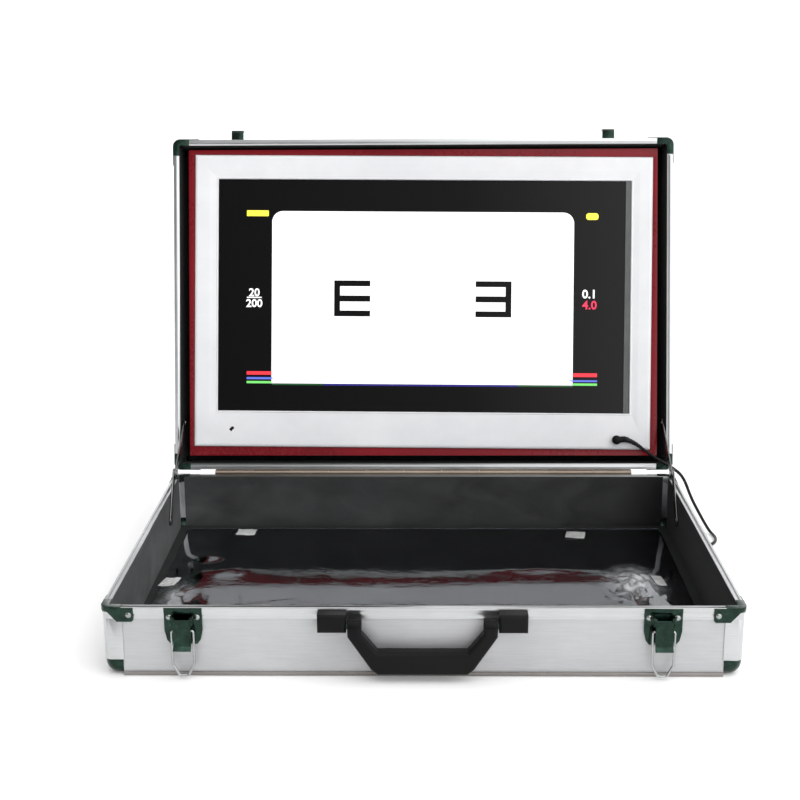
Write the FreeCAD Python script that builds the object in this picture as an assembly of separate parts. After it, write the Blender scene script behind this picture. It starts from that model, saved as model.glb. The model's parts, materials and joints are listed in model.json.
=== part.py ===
import FreeCAD, Part
import math
import os

# Visual acuity chart: a lit chart monitor set in the lid of a hinged carry case.
# Millimetres. The front of the case faces -Y, the hinge is at +Y, +X is to the right, +Z is up.
# The origin is the centre of the case's underside. The lid is stored open, on its stays.

# Driving dimensions: the screen is the standard panel that the case is made round
screen_width = 476.6
screen_height = 268.1
base_height = 66.5
lid_height = 56.0
parting_gap = 1.6
lid_open_deg = 103.75
corner_radius = 7.5

# Panels, linings and film
panel_thickness = 3.8
panel_setback = 1.6
lining_thickness = 1.5
lining_edge_gap = 0.8
film_thickness = 0.4
film_margin = 9.0
tape_thickness = 0.3
back_tape = (20.0, 24.0)
back_tape_from_side = 69.0
back_tape_from_back = 16.0
side_tape = (16.0, 24.0)
side_tape_from_side = 12.0
side_tape_forward = 16.0
tape_turn_deg = 9.0

# Rim profile
rim_width = 6.5
rim_drop = 11.0
rim_inner_drop = 8.0
rim_web = 3.0
lip_height = 3.2
lip_step = 0.5
groove_width = 2.6
groove_depth = 1.6
tongue_side_clearance = 0.6
tongue_engagement = 0.8

# Bottom edge profile, corner posts and corner caps
edge_height = 4.3
edge_flange = 16.0
edge_sheet = 1.0
edge_round = 2.0
post_width = 18.5
post_inner_leg = 12.0
cap_size = 17.6
cap_height = 16.0
cap_radius = 12.0
cap_sheet = 1.2

# Rim corner brackets
bracket_leg = 29.0
bracket_cover_leg = 18.0
bracket_drop = 13.5
bracket_band = 4.0
bracket_neck = 5.5
bracket_lobe = 14.0
bracket_lobe_cut = 1.8
bracket_rivet_back = 4.2
bracket_rivet_drop = 7.2
bracket_sheet = 1.0
bracket_cover_sheet = 0.8
bracket_flange_sheet = 0.6

# Rivets
rivet_radius = 1.6
rivet_head_radius = 2.6
rivet_head_height = 1.1
rivet_clearance = 0.05

# Hinges
hinge_offset = 4.0
hinge_knuckle_radius = 3.0
hinge_pin_radius = 1.5
hinge_from_side = 47.0
hinge_knuckles = 11
hinge_rivet_count = 7
hinge_rivet_inset = 18.0
hinge_leaf_height = 18.0
hinge_sheet = 1.2
hinge_side_gap = 0.4
pin_clearance = 0.05

# Draw latches
latch_from_side = 73.5
latch_plate_width = 34.0
latch_plate_height = 31.0
latch_sheet = 1.2
latch_fold_gap = 0.05
latch_rivet_spacing = 25.2
latch_rivet_drop = 8.8
lever_pivot_drop = 10.5
lever_pivot_reach = 5.8
lever_width = 16.0
lever_tail = 26.0
lever_sheet = 1.2
ear_radius = 4.5
ear_gap = 0.3
latch_pin_radius = 1.5
bail_offset = 9.0
bail_wire_radius = 1.2
bail_length = 42.8
bail_straight = 32.0
bail_end_width = 8.0

# Catches on the lid
catch_width = 34.0
catch_height = 17.0
catch_sheet = 1.2
hook_width = 13.8
hook_reach = 11.5
hook_rise = 11.0

# Handle
handle_mount_spacing = 160.7
handle_mount_width = 25.7
handle_mount_height = 17.0
handle_mount_depth = 14.5
handle_mount_drop = 18.8
handle_pivot_reach = 9.0
handle_pivot_drop = 13.0
handle_side_gap = 1.0
handle_arm_width = 12.5
handle_thickness = 15.0
handle_reach = 45.2
handle_grip_height = 21.5
handle_grip_width = 80.0
handle_pin_radius = 3.0
handle_eye_radius = 6.2
mount_lip_gap = 0.1

# Folding stays, given as places in the closed case
stay_base_from_rear = 78.0
stay_base_drop = 28.5
stay_lid_from_rear = 53.6
stay_lid_depth = 10.0
stay_lower_length = 55.0
stay_upper_length = 83.0
stay_bar_width = 11.0
stay_bar_thickness = 1.5
stay_gap = 0.4
stay_rivet_radius = 2.0
stay_head_radius = 3.6
stay_head_height = 1.4

# Chart monitor, in the plane of the lid: across from the middle, up from the hinge edge
bezel_side_margin = 25.95
bezel_end_margin = 34.7
bezel_rise = 0.6
bezel_sink = 4.5
bezel_depth = 9.0
bezel_sheet = 2.5
bezel_round = 3.0
screen_across = 1.2
screen_up = 7.0
screen_recess = 3.5
screen_lap = 4.0
lcd_thickness = 6.0
monitor_turn_deg = -0.5
cover_depth = 26.0
cover_sheet = 2.0
cover_inset = 1.5
cover_back_inset = 40.0
board_width = 160.0
board_height = 90.0
board_thickness = 1.6
board_standoff = 8.0
mount_pad_size = 30.0
mount_pad_spacing = 100.0
red_trim_side = 6.5
red_trim_end = 8.25
red_trim_thickness = 3.0
trim_gap_side = 9.35
trim_gap_hinge = 8.4
trim_gap_far = 3.8
red_trim_sink = 7.5
red_trim_side_gap = 0.3
batten_width = 2.5
batten_length = 300.0
batten_low_gap = 120.0
chart_layer = 0.2
field_width = 348.6
field_height = 201.8
field_up = -1.3
field_corner = 7.0
letter_size = 41.4
letter_spacing = 163.5
letter_up = -3.3
sensor_from_side = 44.65
sensor_from_edge = 21.55
sensor_radius = 1.8

# Lead, plug and adapter
lead_diameter = 3.5
plug_length = 16.0
plug_height = 9.0
plug_thickness = 8.0
plug_from_side = 39.25
plug_from_edge = 11.45
jack_radius = 3.2
coil_across = 246.0
coil_back = 240.0
coil_turn_radius = 21.0
coil_columns = 2
coil_layers = 4
coil_entry_deg = -60.0
coil_tail = 46.0
lead_rest_height = 2.4
adapter_length = 62.0
adapter_width = 40.0
adapter_height = 28.0
relief_length = 12.0
relief_radius = 3.0
relief_height = 7.0
prong_length = 16.0
prong_width = 6.3
prong_thickness = 1.5
prong_spacing = 12.7

# Places that follow from the sizes above
panel_inner = panel_setback + panel_thickness
lining_inner = panel_inner + lining_thickness
bezel_width = screen_width + 2.0 * bezel_side_margin
bezel_height = screen_height + 2.0 * bezel_end_margin
red_trim_width = bezel_width + 2.0 * red_trim_side
red_trim_height = bezel_height + 2.0 * red_trim_end
red_trim_up = lining_inner + trim_gap_hinge + red_trim_height / 2.0
bezel_up = red_trim_up + bezel_rise
case_width = red_trim_width + 2.0 * (trim_gap_side + lining_inner)
case_depth = red_trim_height + trim_gap_hinge + trim_gap_far + 2.0 * lining_inner
sensor_across = sensor_from_side - bezel_width / 2.0
sensor_up = bezel_up - bezel_height / 2.0 + sensor_from_edge
plug_across = bezel_width / 2.0 - plug_from_side
plug_up = bezel_up - bezel_height / 2.0 + plug_from_edge
half_width = case_width / 2.0
half_depth = case_depth / 2.0
lid_rim_z = base_height + parting_gap
hinge_y = half_depth + hinge_offset
hinge_z = base_height + parting_gap / 2.0
floor_panel_top = edge_sheet + panel_thickness
floor_top = floor_panel_top + lining_thickness
latch_across = half_width - latch_from_side
lever_pivot_height = base_height - lever_pivot_drop
handle_mount_low = base_height - handle_mount_drop
handle_pivot_height = base_height - handle_pivot_drop
handle_low = handle_pivot_height - handle_reach
stay_base_y = half_depth - stay_base_from_rear
stay_base_z = base_height - stay_base_drop
front_leg_y = -half_depth + lip_step
front_panel_y = -half_depth + panel_setback
left_side = -1
right_side = 1
x_axis = FreeCAD.Vector(1, 0, 0)
y_axis = FreeCAD.Vector(0, 1, 0)
z_axis = FreeCAD.Vector(0, 0, 1)


def box(x0, x1, y0, y1, z0, z1):
    corner = FreeCAD.Vector(min(x0, x1), min(y0, y1), min(z0, z1))
    return Part.makeBox(abs(x1 - x0), abs(y1 - y0), abs(z1 - z0), corner)


def cylinder(start, end, radius):
    a = FreeCAD.Vector(*start)
    b = FreeCAD.Vector(*end)
    return Part.makeCylinder(radius, (b - a).Length, a, b - a)


def fused(shapes):
    whole = shapes[0]
    for shape in shapes[1:]:
        whole = whole.fuse(shape)
    return whole.removeSplitter()


def group(shapes):
    return Part.makeCompound(shapes)


def prism(points, direction):
    # extrudes a closed outline of 3-D points along a vector
    corners = [FreeCAD.Vector(*point) for point in points]
    wire = Part.makePolygon(corners + [corners[0]])
    return Part.Face(wire).extrude(FreeCAD.Vector(*direction))


def rounded_rectangle(x0, x1, y0, y1, radius, z0, z1):
    block = box(x0, x1, y0, y1, z0, z1)
    uprights = [edge for edge in block.Edges if abs(edge.tangentAt(edge.FirstParameter).z) > 0.99]
    return block.makeFillet(radius, uprights)


def mirrored_x(shape):
    return shape.mirror(FreeCAD.Vector(0, 0, 0), x_axis)


def turned(shape, point, axis, degrees):
    copy = shape.copy()
    copy.rotate(FreeCAD.Vector(*point), axis, degrees)
    return copy


def moved(shape, x, y, z):
    copy = shape.copy()
    copy.translate(FreeCAD.Vector(x, y, z))
    return copy


def rivet(x, y, z, outward, grip):
    # the head stands on the sheet at the given place, and the shank goes back through it
    head_start = FreeCAD.Vector(x, y, z)
    way = FreeCAD.Vector(*outward)
    top_radius = rivet_head_radius - rivet_head_height
    head = Part.makeCone(rivet_head_radius, top_radius, rivet_head_height, head_start, way)
    shank = Part.makeCylinder(rivet_radius, grip, head_start - way * grip, way)
    return head.fuse(shank).removeSplitter()


def rivet_hole(x, y, z, outward, grip):
    way = FreeCAD.Vector(*outward)
    reach = grip + rivet_clearance
    start = FreeCAD.Vector(x, y, z) - way * reach
    return Part.makeCylinder(rivet_radius + rivet_clearance, 2.0 * reach, start, way)


# One half of the case, outer skin at z = 0 and rim face at z = height. The lid is the same, mirrored.

def side_frames():
    # each side: its name, how far round it is turned, its half length and its distance from the middle
    return [
        ("front", 0.0, half_width, half_depth),
        ("right", 90.0, half_depth, half_width),
        ("back", 180.0, half_width, half_depth),
        ("left", 270.0, half_depth, half_width),
    ]


def on_side(shape, degrees):
    return turned(shape, (0, 0, 0), z_axis, degrees)


def mitred(shape, half_length, reach, width, z0, z1):
    # trims a straight length to 45 degree mitres at both corners
    outline = [
        (-half_length, -reach, z0),
        (half_length, -reach, z0),
        (half_length - width, -reach + width, z0),
        (-half_length + width, -reach + width, z0),
    ]
    return shape.common(prism(outline, (0, 0, z1 - z0)))


def swept_section(section, half_length, reach):
    # section points are (distance in from the outer face, height)
    outline = [(-half_length, -reach + inward, height) for inward, height in section]
    return prism(outline, (2.0 * half_length, 0, 0))


def corner_envelope(height):
    # rounds the plan corners, the lip on its own larger radius
    lip = rounded_rectangle(-half_width, half_width, -half_depth, half_depth, corner_radius,
                            height - lip_height, height + groove_depth + parting_gap)
    inset_x = half_width - lip_step
    inset_y = half_depth - lip_step
    body = rounded_rectangle(-inset_x, inset_x, -inset_y, inset_y, corner_radius - lip_step,
                             edge_height, height - lip_height)
    return lip.fuse(body)


def rim_section(height, grooved):
    groove_start = (rim_width - groove_width) / 2.0
    groove_end = groove_start + groove_width
    section = [
        (0, height),
        (0, height - lip_height),
        (lip_step, height - lip_height),
        (lip_step, height - rim_drop),
        (panel_setback, height - rim_drop),
        (panel_setback, height - rim_web),
        (panel_inner, height - rim_web),
        (panel_inner, height - rim_inner_drop),
        (rim_width, height - rim_inner_drop),
        (rim_width, height),
    ]
    if grooved:
        section += [
            (groove_end, height),
            (groove_end, height - groove_depth),
            (groove_start, height - groove_depth),
            (groove_start, height),
        ]
    return section


def rim_length(half_length, reach, height, grooved):
    length = swept_section(rim_section(height, grooved), half_length, reach)
    if not grooved:
        middle = rim_width / 2.0
        half_tongue = groove_width / 2.0 - tongue_side_clearance
        run = half_length - bracket_cover_leg - 2.0
        tongue = box(-run, run, -reach + middle - half_tongue, -reach + middle + half_tongue,
                     height - rim_web / 2.0, height + parting_gap + tongue_engagement)
        length = length.fuse(tongue)
    return mitred(length, half_length, reach, rim_width, height - rim_drop, height + 2.0 * parting_gap)


def panel(half_length, reach, height):
    wall = box(-half_length + corner_radius, half_length - corner_radius,
               -reach + panel_setback, -reach + panel_inner, edge_sheet, height - rim_web)
    notch_reach = half_length - cap_size
    for side in (left_side, right_side):
        notch = box(side * notch_reach, side * half_length, -reach, -reach + cap_size, 0, cap_height)
        wall = wall.cut(notch)
    return wall


def edge_length(half_length, reach):
    radius_point = edge_round * (1.0 - math.sqrt(0.5))
    x0 = -half_length
    corner = [
        FreeCAD.Vector(x0, -reach, edge_round),
        FreeCAD.Vector(x0, -reach + radius_point, radius_point),
        FreeCAD.Vector(x0, -reach + edge_round, 0),
    ]
    rest = [
        corner[2],
        FreeCAD.Vector(x0, -reach + edge_flange, 0),
        FreeCAD.Vector(x0, -reach + edge_flange, edge_sheet),
        FreeCAD.Vector(x0, -reach + panel_setback, edge_sheet),
        FreeCAD.Vector(x0, -reach + panel_setback, edge_height),
        FreeCAD.Vector(x0, -reach, edge_height),
        corner[0],
    ]
    arc = Part.Arc(corner[0], corner[1], corner[2]).toShape()
    lines = [Part.LineSegment(a, b).toShape() for a, b in zip(rest, rest[1:])]
    section = Part.Face(Part.Wire([arc] + lines))
    length = section.extrude(FreeCAD.Vector(2.0 * half_length, 0, 0))
    length = mitred(length, half_length, reach, edge_flange, 0, edge_height)
    for side in (left_side, right_side):
        corner_box = box(side * (half_length - cap_size), side * half_length,
                         -reach, -reach + cap_size, 0, cap_height)
        length = length.cut(corner_box)
    return length


def corner_post(height):
    # plan section at the front left corner, with a channel for each panel
    a = lip_step
    r = corner_radius
    x0 = -half_width
    y0 = -half_depth
    radius = r - lip_step
    bulge = r - radius * math.sqrt(0.5)
    z0 = cap_height
    arc = Part.Arc(FreeCAD.Vector(x0 + a, y0 + r, z0), FreeCAD.Vector(x0 + bulge, y0 + bulge, z0),
                   FreeCAD.Vector(x0 + r, y0 + a, z0)).toShape()
    corners = [
        (r, a),
        (post_width, a),
        (post_width, panel_setback),
        (r, panel_setback),
        (r, panel_inner),
        (post_inner_leg, panel_inner),
        (post_inner_leg, rim_width),
        (rim_width, rim_width),
        (rim_width, post_inner_leg),
        (panel_inner, post_inner_leg),
        (panel_inner, r),
        (panel_setback, r),
        (panel_setback, post_width),
        (a, post_width),
        (a, r),
    ]
    points = [FreeCAD.Vector(x0 + along, y0 + inward, z0) for along, inward in corners]
    lines = [Part.LineSegment(p, q).toShape() for p, q in zip(points, points[1:])]
    section = Part.Face(Part.Wire([arc] + lines))
    post = section.extrude(FreeCAD.Vector(0, 0, height - rim_web - cap_height))
    collar = box(x0, x0 + post_width, y0, y0 + post_width, height - rim_drop, height)
    core = box(x0 + panel_setback, x0 + post_width, y0 + panel_setback, y0 + post_width, 0, height)
    inner = box(x0 + panel_inner, x0 + post_width, y0 + panel_inner, y0 + post_width,
                height - rim_inner_drop, height)
    return post.cut(collar.cut(core)).cut(inner)


def corner_cap():
    # a pressed ball corner at the front left
    reach = 3.0 * cap_size
    shells = []
    for inset in (0.0, cap_sheet):
        block = box(-half_width + inset, -half_width + reach, -half_depth + inset, -half_depth + reach,
                    inset, reach)
        near = []
        for edge in block.Edges:
            middle = edge.valueAt((edge.FirstParameter + edge.LastParameter) / 2.0)
            touches = [
                abs(middle.x + half_width - inset) < 0.01,
                abs(middle.y + half_depth - inset) < 0.01,
                abs(middle.z - inset) < 0.01,
            ]
            if touches.count(True) == 2:
                near.append(edge)
        shells.append(block.makeFillet(cap_radius - inset, near))
    room = box(-half_width, -half_width + cap_size, -half_depth, -half_depth + cap_size, 0, cap_height)
    return shells[0].cut(shells[1]).common(room)


def corner_bracket(height):
    # a narrow band round the rim corner at the front left, with a riveted lobe on each side
    # and a small flange over the rim face
    top = height - lip_height - 0.2
    low = height - bracket_drop
    band_low = height - bracket_band
    outset = bracket_sheet - lip_step
    reach = bracket_leg + outset
    outer = rounded_rectangle(-half_width - outset, half_width, -half_depth - outset, half_depth,
                              corner_radius + outset, low, top)
    inner = rounded_rectangle(-half_width + lip_step, half_width, -half_depth + lip_step, half_depth,
                              corner_radius - lip_step, low, top)
    profile = [
        (bracket_neck, band_low),
        (bracket_lobe, low),
        (bracket_leg - bracket_lobe_cut, low),
        (bracket_leg, low + bracket_lobe_cut),
        (bracket_leg, top),
        (bracket_neck, top),
    ]
    front_lobe = prism([(-half_width + s, -half_depth - 2.0, z) for s, z in profile], (0, 3.0, 0))
    side_lobe = prism([(-half_width - 2.0, -half_depth + s, z) for s, z in profile], (3.0, 0, 0))
    corner_box = box(-half_width - 2.0, -half_width + bracket_lobe, -half_depth - 2.0,
                     -half_depth + bracket_lobe, band_low, top)
    wall = outer.cut(inner).common(fused([front_lobe, side_lobe, corner_box]))
    cover_top = height + bracket_flange_sheet
    side_box = box(-half_width - 2, -half_width - outset + reach, -half_depth - 2,
                   -half_depth - outset + reach, band_low, height)
    flange_box = box(-half_width - 2, -half_width + bracket_cover_leg, -half_depth - 2,
                     -half_depth + bracket_cover_leg, height, cover_top)
    cover = rounded_rectangle(-half_width - bracket_cover_sheet, half_width,
                              -half_depth - bracket_cover_sheet, half_depth,
                              corner_radius + bracket_cover_sheet, band_low, cover_top)
    hollow = rounded_rectangle(-half_width, half_width, -half_depth, half_depth, corner_radius,
                               band_low, height)
    window = box(-half_width + rim_width, half_width, -half_depth + rim_width, half_depth,
                 height, cover_top)
    cover = cover.cut(hollow).cut(window).common(side_box.fuse(flange_box))
    return wall.fuse(cover).removeSplitter()


def four_corners(shape):
    # the front left piece, repeated at the other three corners
    front = [shape, mirrored_x(shape)]
    return front + [item.mirror(FreeCAD.Vector(0, 0, 0), y_axis) for item in front]


def bracket_rivet_places(height):
    along_x = half_width - bracket_leg + bracket_rivet_back
    along_y = half_depth - bracket_leg + bracket_rivet_back
    z = height - bracket_rivet_drop
    face = bracket_sheet - lip_step
    places = []
    for sx in (left_side, right_side):
        for sy in (-1, 1):
            places.append((sx * along_x, sy * (half_depth + face), z, (0, sy, 0)))
            places.append((sx * (half_width + face), sy * along_y, z, (sx, 0, 0)))
    return places


def case_half(height, grooved):
    parts = {}
    envelope = corner_envelope(height)
    for name, degrees, half_length, reach in side_frames():
        rim = rim_length(half_length, reach, height, grooved)
        parts["rim_" + name] = on_side(rim, degrees).common(envelope)
        parts["panel_" + name] = on_side(panel(half_length, reach, height), degrees)
        parts["edge_" + name] = on_side(edge_length(half_length, reach), degrees)
        lining = box(-half_length + post_inner_leg, half_length - post_inner_leg, -reach + panel_inner,
                     -reach + lining_inner, floor_panel_top, height - rim_inner_drop)
        lap = box(-half_length + post_inner_leg, half_length - post_inner_leg, -reach + rim_width,
                  -reach + lining_inner, height - rim_inner_drop, height - lining_edge_gap)
        lining = lining.fuse(lap).removeSplitter()
        parts["lining_" + name] = on_side(lining, degrees)
    inner_x = half_width - panel_inner
    inner_y = half_depth - panel_inner
    skin = box(-inner_x, inner_x, -inner_y, inner_y, edge_sheet, floor_panel_top)
    flush_x = half_width - edge_flange
    flush_y = half_depth - edge_flange
    skin = skin.fuse(box(-flush_x, flush_x, -flush_y, flush_y, 0, edge_sheet)).removeSplitter()
    notch = box(-half_width, -half_width + cap_size, -half_depth, -half_depth + cap_size, 0, cap_height)
    for corner in four_corners(notch):
        skin = skin.cut(corner)
    parts["skin"] = skin
    floor_x = half_width - lining_inner
    floor_y = half_depth - lining_inner
    parts["floor"] = box(-floor_x, floor_x, -floor_y, floor_y, floor_panel_top, floor_top)
    parts["posts"] = four_corners(corner_post(height))
    parts["caps"] = four_corners(corner_cap())
    grip = bracket_sheet + 1.0
    brackets = four_corners(corner_bracket(height))
    rivets = []
    for x, y, z, outward in bracket_rivet_places(height):
        rivets.append(rivet(x, y, z, outward, grip))
        hole = rivet_hole(x, y, z, outward, grip)
        brackets = [item.cut(hole) for item in brackets]
        for name in ("front", "right", "back", "left"):
            parts["rim_" + name] = parts["rim_" + name].cut(hole)
    parts["brackets"] = brackets
    parts["rivets"] = rivets
    return parts


# Placing the lid and what it carries

closed_top = base_height + parting_gap + lid_height


def lid_closed(shape):
    # from the half's own frame to its place on the closed case
    return shape.mirror(FreeCAD.Vector(0, 0, closed_top / 2.0), z_axis)


def opened(shape):
    return turned(shape, (0, hinge_y, hinge_z), x_axis, -lid_open_deg)


def lid_at_rest(shape):
    return opened(lid_closed(shape))


def face_at_rest(shape):
    # from the lid face's frame (across, up from the hinge edge, out towards the viewer) to rest
    closed = turned(shape, (0, 0, 0), x_axis, 180.0)
    return opened(moved(closed, 0, half_depth, lid_rim_z))


def face_point(across, up, out):
    closed_y = half_depth - up - hinge_y
    closed_z = lid_rim_z - out - hinge_z
    angle = math.radians(lid_open_deg)
    y = hinge_y + closed_y * math.cos(angle) + closed_z * math.sin(angle)
    z = hinge_z - closed_y * math.sin(angle) + closed_z * math.cos(angle)
    return (across, y, z)


# Hinge at the back

def hinge_parts():
    # one long hinge: the lid leaf takes the even knuckles and the base leaf the rest
    back = half_depth
    x0 = -half_width + hinge_from_side
    hinge_length = case_width - 2.0 * hinge_from_side
    step = hinge_length / hinge_knuckles
    leaf_low = base_height - hinge_leaf_height
    leaf_high = lid_rim_z + hinge_leaf_height
    base_leaf = [box(x0, x0 + hinge_length, back, back + hinge_sheet, leaf_low, base_height - lip_height)]
    lid_leaf = [box(x0, x0 + hinge_length, back, back + hinge_sheet, lid_rim_z + lip_height, leaf_high)]
    for index in range(hinge_knuckles):
        start = x0 + index * step + (hinge_side_gap / 2.0 if index > 0 else 0.0)
        end = x0 + (index + 1) * step - (hinge_side_gap / 2.0 if index < hinge_knuckles - 1 else 0.0)
        knuckle = cylinder((start, hinge_y, hinge_z), (end, hinge_y, hinge_z), hinge_knuckle_radius)
        if index % 2 == 1:
            web = box(start, end, back, hinge_y, hinge_z + hinge_sheet, hinge_z + hinge_knuckle_radius)
            riser = box(start, end, back, back + hinge_sheet, hinge_z + hinge_sheet, lid_rim_z + lip_height)
            lid_leaf += [knuckle, web, riser]
        else:
            web = box(start, end, back, hinge_y, hinge_z - hinge_knuckle_radius, hinge_z - hinge_sheet)
            riser = box(start, end, back, back + hinge_sheet, base_height - lip_height, hinge_z - hinge_sheet)
            base_leaf += [knuckle, web, riser]
    bore = cylinder((x0 - 1, hinge_y, hinge_z), (x0 + hinge_length + 1, hinge_y, hinge_z),
                    hinge_pin_radius + pin_clearance)
    pin = cylinder((x0, hinge_y, hinge_z), (x0 + hinge_length, hinge_y, hinge_z), hinge_pin_radius)
    base_solid = fused(base_leaf).cut(bore)
    lid_solid = fused(lid_leaf).cut(bore)
    rivets_base = []
    rivets_lid = []
    pitch = (hinge_length - 2.0 * hinge_rivet_inset) / (hinge_rivet_count - 1)
    z_base = leaf_low + rivet_head_radius + 1.6
    z_lid = leaf_high - rivet_head_radius - 1.6
    for index in range(hinge_rivet_count):
        x = x0 + hinge_rivet_inset + index * pitch
        rivets_base.append(rivet(x, back + hinge_sheet, z_base, (0, 1, 0), hinge_sheet))
        rivets_lid.append(rivet(x, back + hinge_sheet, z_lid, (0, 1, 0), hinge_sheet))
        base_solid = base_solid.cut(rivet_hole(x, back + hinge_sheet, z_base, (0, 1, 0), hinge_sheet))
        lid_solid = lid_solid.cut(rivet_hole(x, back + hinge_sheet, z_lid, (0, 1, 0), hinge_sheet))
    return [base_solid], [opened(lid_solid)], [pin], rivets_base, [opened(item) for item in rivets_lid]


# Draw latches

latch_face_y = front_leg_y - latch_sheet
lever_pivot_y = latch_face_y - lever_pivot_reach
bail_pivot_z = lever_pivot_height - bail_offset
wire_across = lever_width / 2.0 + bail_wire_radius + 0.4
plate_top = base_height - lip_height - 0.4


def latch_plate():
    half = latch_plate_width / 2.0
    low = plate_top - latch_plate_height
    waist = low + 0.42 * latch_plate_height
    outline = [
        (-half, latch_face_y, plate_top),
        (half, latch_face_y, plate_top),
        (half, latch_face_y, waist),
        (half - 2.0, latch_face_y, low + 4.0),
        (half - 5.0, latch_face_y, low),
        (-half + 5.0, latch_face_y, low),
        (-half + 2.0, latch_face_y, low + 4.0),
        (-half, latch_face_y, waist),
    ]
    plate = prism(outline, (0, latch_sheet, 0))
    fold_y = -half_depth - latch_fold_gap
    fold = box(-half, half, fold_y - latch_sheet, fold_y, plate_top - latch_sheet, base_height - latch_fold_gap)
    pieces = [plate, fold]
    ear_inner = lever_width / 2.0 + ear_gap
    for side in (left_side, right_side):
        x0 = side * ear_inner
        x1 = side * (ear_inner + latch_sheet)
        web = box(x0, x1, lever_pivot_y, front_leg_y, lever_pivot_height - ear_radius,
                  lever_pivot_height + ear_radius)
        eye = cylinder((x0, lever_pivot_y, lever_pivot_height), (x1, lever_pivot_y, lever_pivot_height),
                       ear_radius)
        pad = cylinder((side * (half - 5.0), latch_face_y + 0.4, low + 5.0),
                       (side * (half - 5.0), front_panel_y, low + 5.0), 2.5)
        pieces += [web, eye, pad]
    plate = fused(pieces)
    bore = cylinder((-half, lever_pivot_y, lever_pivot_height), (half, lever_pivot_y, lever_pivot_height),
                    latch_pin_radius + pin_clearance)
    return plate.cut(bore)


def latch_lever():
    half = lever_width / 2.0
    low = lever_pivot_height - lever_tail
    front = lever_pivot_y - 4.0
    back = lever_pivot_y + 2.6
    pieces = []
    for side in (left_side, right_side):
        x0 = side * half
        x1 = side * (half - lever_sheet)
        cheek = box(x0, x1, front, back, low + 7.0, lever_pivot_height)
        eye = cylinder((x0, lever_pivot_y, lever_pivot_height), (x1, lever_pivot_y, lever_pivot_height), 4.0)
        pieces += [cheek, eye]
    web = box(-half, half, front, front + lever_sheet, low + 4.0, lever_pivot_height + 1.5)
    tab = prism([(-half, front, low + 4.0), (-half, front + lever_sheet, low + 4.0),
                 (-half, front - 2.6, low), (-half, front - 3.6, low + 0.8)], (lever_width, 0, 0))
    pieces += [web, tab]
    lever = fused(pieces)
    pin_bore = cylinder((-half, lever_pivot_y, lever_pivot_height), (half, lever_pivot_y, lever_pivot_height),
                        latch_pin_radius + pin_clearance)
    bail_bore = cylinder((-half, lever_pivot_y, bail_pivot_z), (half, lever_pivot_y, bail_pivot_z),
                         bail_wire_radius + pin_clearance)
    return lever.cut(pin_bore).cut(bail_bore)


def latch_pin():
    reach = lever_width / 2.0 + ear_gap + latch_sheet
    shank = cylinder((-reach, lever_pivot_y, lever_pivot_height), (reach, lever_pivot_y, lever_pivot_height),
                     latch_pin_radius)
    heads = []
    for side in (left_side, right_side):
        heads.append(cylinder((side * reach, lever_pivot_y, lever_pivot_height),
                              (side * (reach + 0.8), lever_pivot_y, lever_pivot_height), 2.4))
    return fused([shank] + heads)


def wire_path(points, radii):
    # straight runs joined by tangent arcs, one radius for each inner point
    nodes = [FreeCAD.Vector(*point) for point in points]
    edges = []
    start = nodes[0]
    for index in range(1, len(nodes) - 1):
        before = (nodes[index - 1] - nodes[index]).normalize()
        after = (nodes[index + 1] - nodes[index]).normalize()
        half_inner = before.getAngle(after) / 2.0
        setback = radii[index - 1] / math.tan(half_inner)
        arc_start = nodes[index] + before * setback
        arc_end = nodes[index] + after * setback
        bisector = (before + after).normalize()
        centre_reach = radii[index - 1] / math.sin(half_inner)
        arc_middle = nodes[index] + bisector * (centre_reach - radii[index - 1])
        edges.append(Part.LineSegment(start, arc_start).toShape())
        edges.append(Part.Arc(arc_start, arc_middle, arc_end).toShape())
        start = arc_end
    edges.append(Part.LineSegment(start, nodes[-1]).toShape())
    return edges


def tube(edges, radius):
    wire = Part.Wire(edges)
    first = edges[0]
    start = first.valueAt(first.FirstParameter)
    way = first.tangentAt(first.FirstParameter)
    profile = Part.Wire([Part.makeCircle(radius, start, way)])
    return wire.makePipeShell([profile], True, True)


def latch_bail():
    inner = lever_width / 2.0 - lever_sheet - 0.3
    low = bail_pivot_z - bail_length
    knee = bail_pivot_z - bail_straight
    y = lever_pivot_y
    end = bail_end_width / 2.0
    points = [
        (-inner, y, bail_pivot_z),
        (-wire_across, y, bail_pivot_z),
        (-wire_across, y, knee),
        (-end, y, low),
        (end, y, low),
        (wire_across, y, knee),
        (wire_across, y, bail_pivot_z),
        (inner, y, bail_pivot_z),
    ]
    tight = bail_wire_radius + 0.2
    return tube(wire_path(points, [tight, 4.0, 2.5, 2.5, 4.0, tight]), bail_wire_radius)


# Catches on the lid's front wall, modelled on the closed case

def catch():
    half = catch_width / 2.0
    low = lid_rim_z + lip_height + 0.4
    face = front_leg_y - catch_sheet
    plate = box(-half, half, face, front_leg_y, low, low + catch_height)
    narrow = hook_width / 2.0
    tip_y = -half_depth - hook_reach
    outline = [
        (-narrow, front_leg_y, low),
        (-narrow, tip_y + 2.5, low),
        (-narrow, tip_y, low + 2.5),
        (-narrow, tip_y, low + hook_rise),
        (-narrow, tip_y + catch_sheet, low + hook_rise),
        (-narrow, tip_y + catch_sheet, low + 3.0),
        (-narrow, tip_y + 3.0, low + catch_sheet),
        (-narrow, front_leg_y, low + catch_sheet),
    ]
    hook = prism(outline, (hook_width, 0, 0))
    return fused([plate, hook])


# Handle

handle_pivot_y = front_leg_y - handle_pivot_reach
mount_centre = handle_mount_spacing / 2.0
mount_inner = mount_centre - handle_mount_width / 2.0
mount_outer = mount_centre + handle_mount_width / 2.0
arm_outer = mount_inner - handle_side_gap
arm_inner = arm_outer - handle_arm_width
handle_pin_end = mount_outer - 5.0


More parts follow.
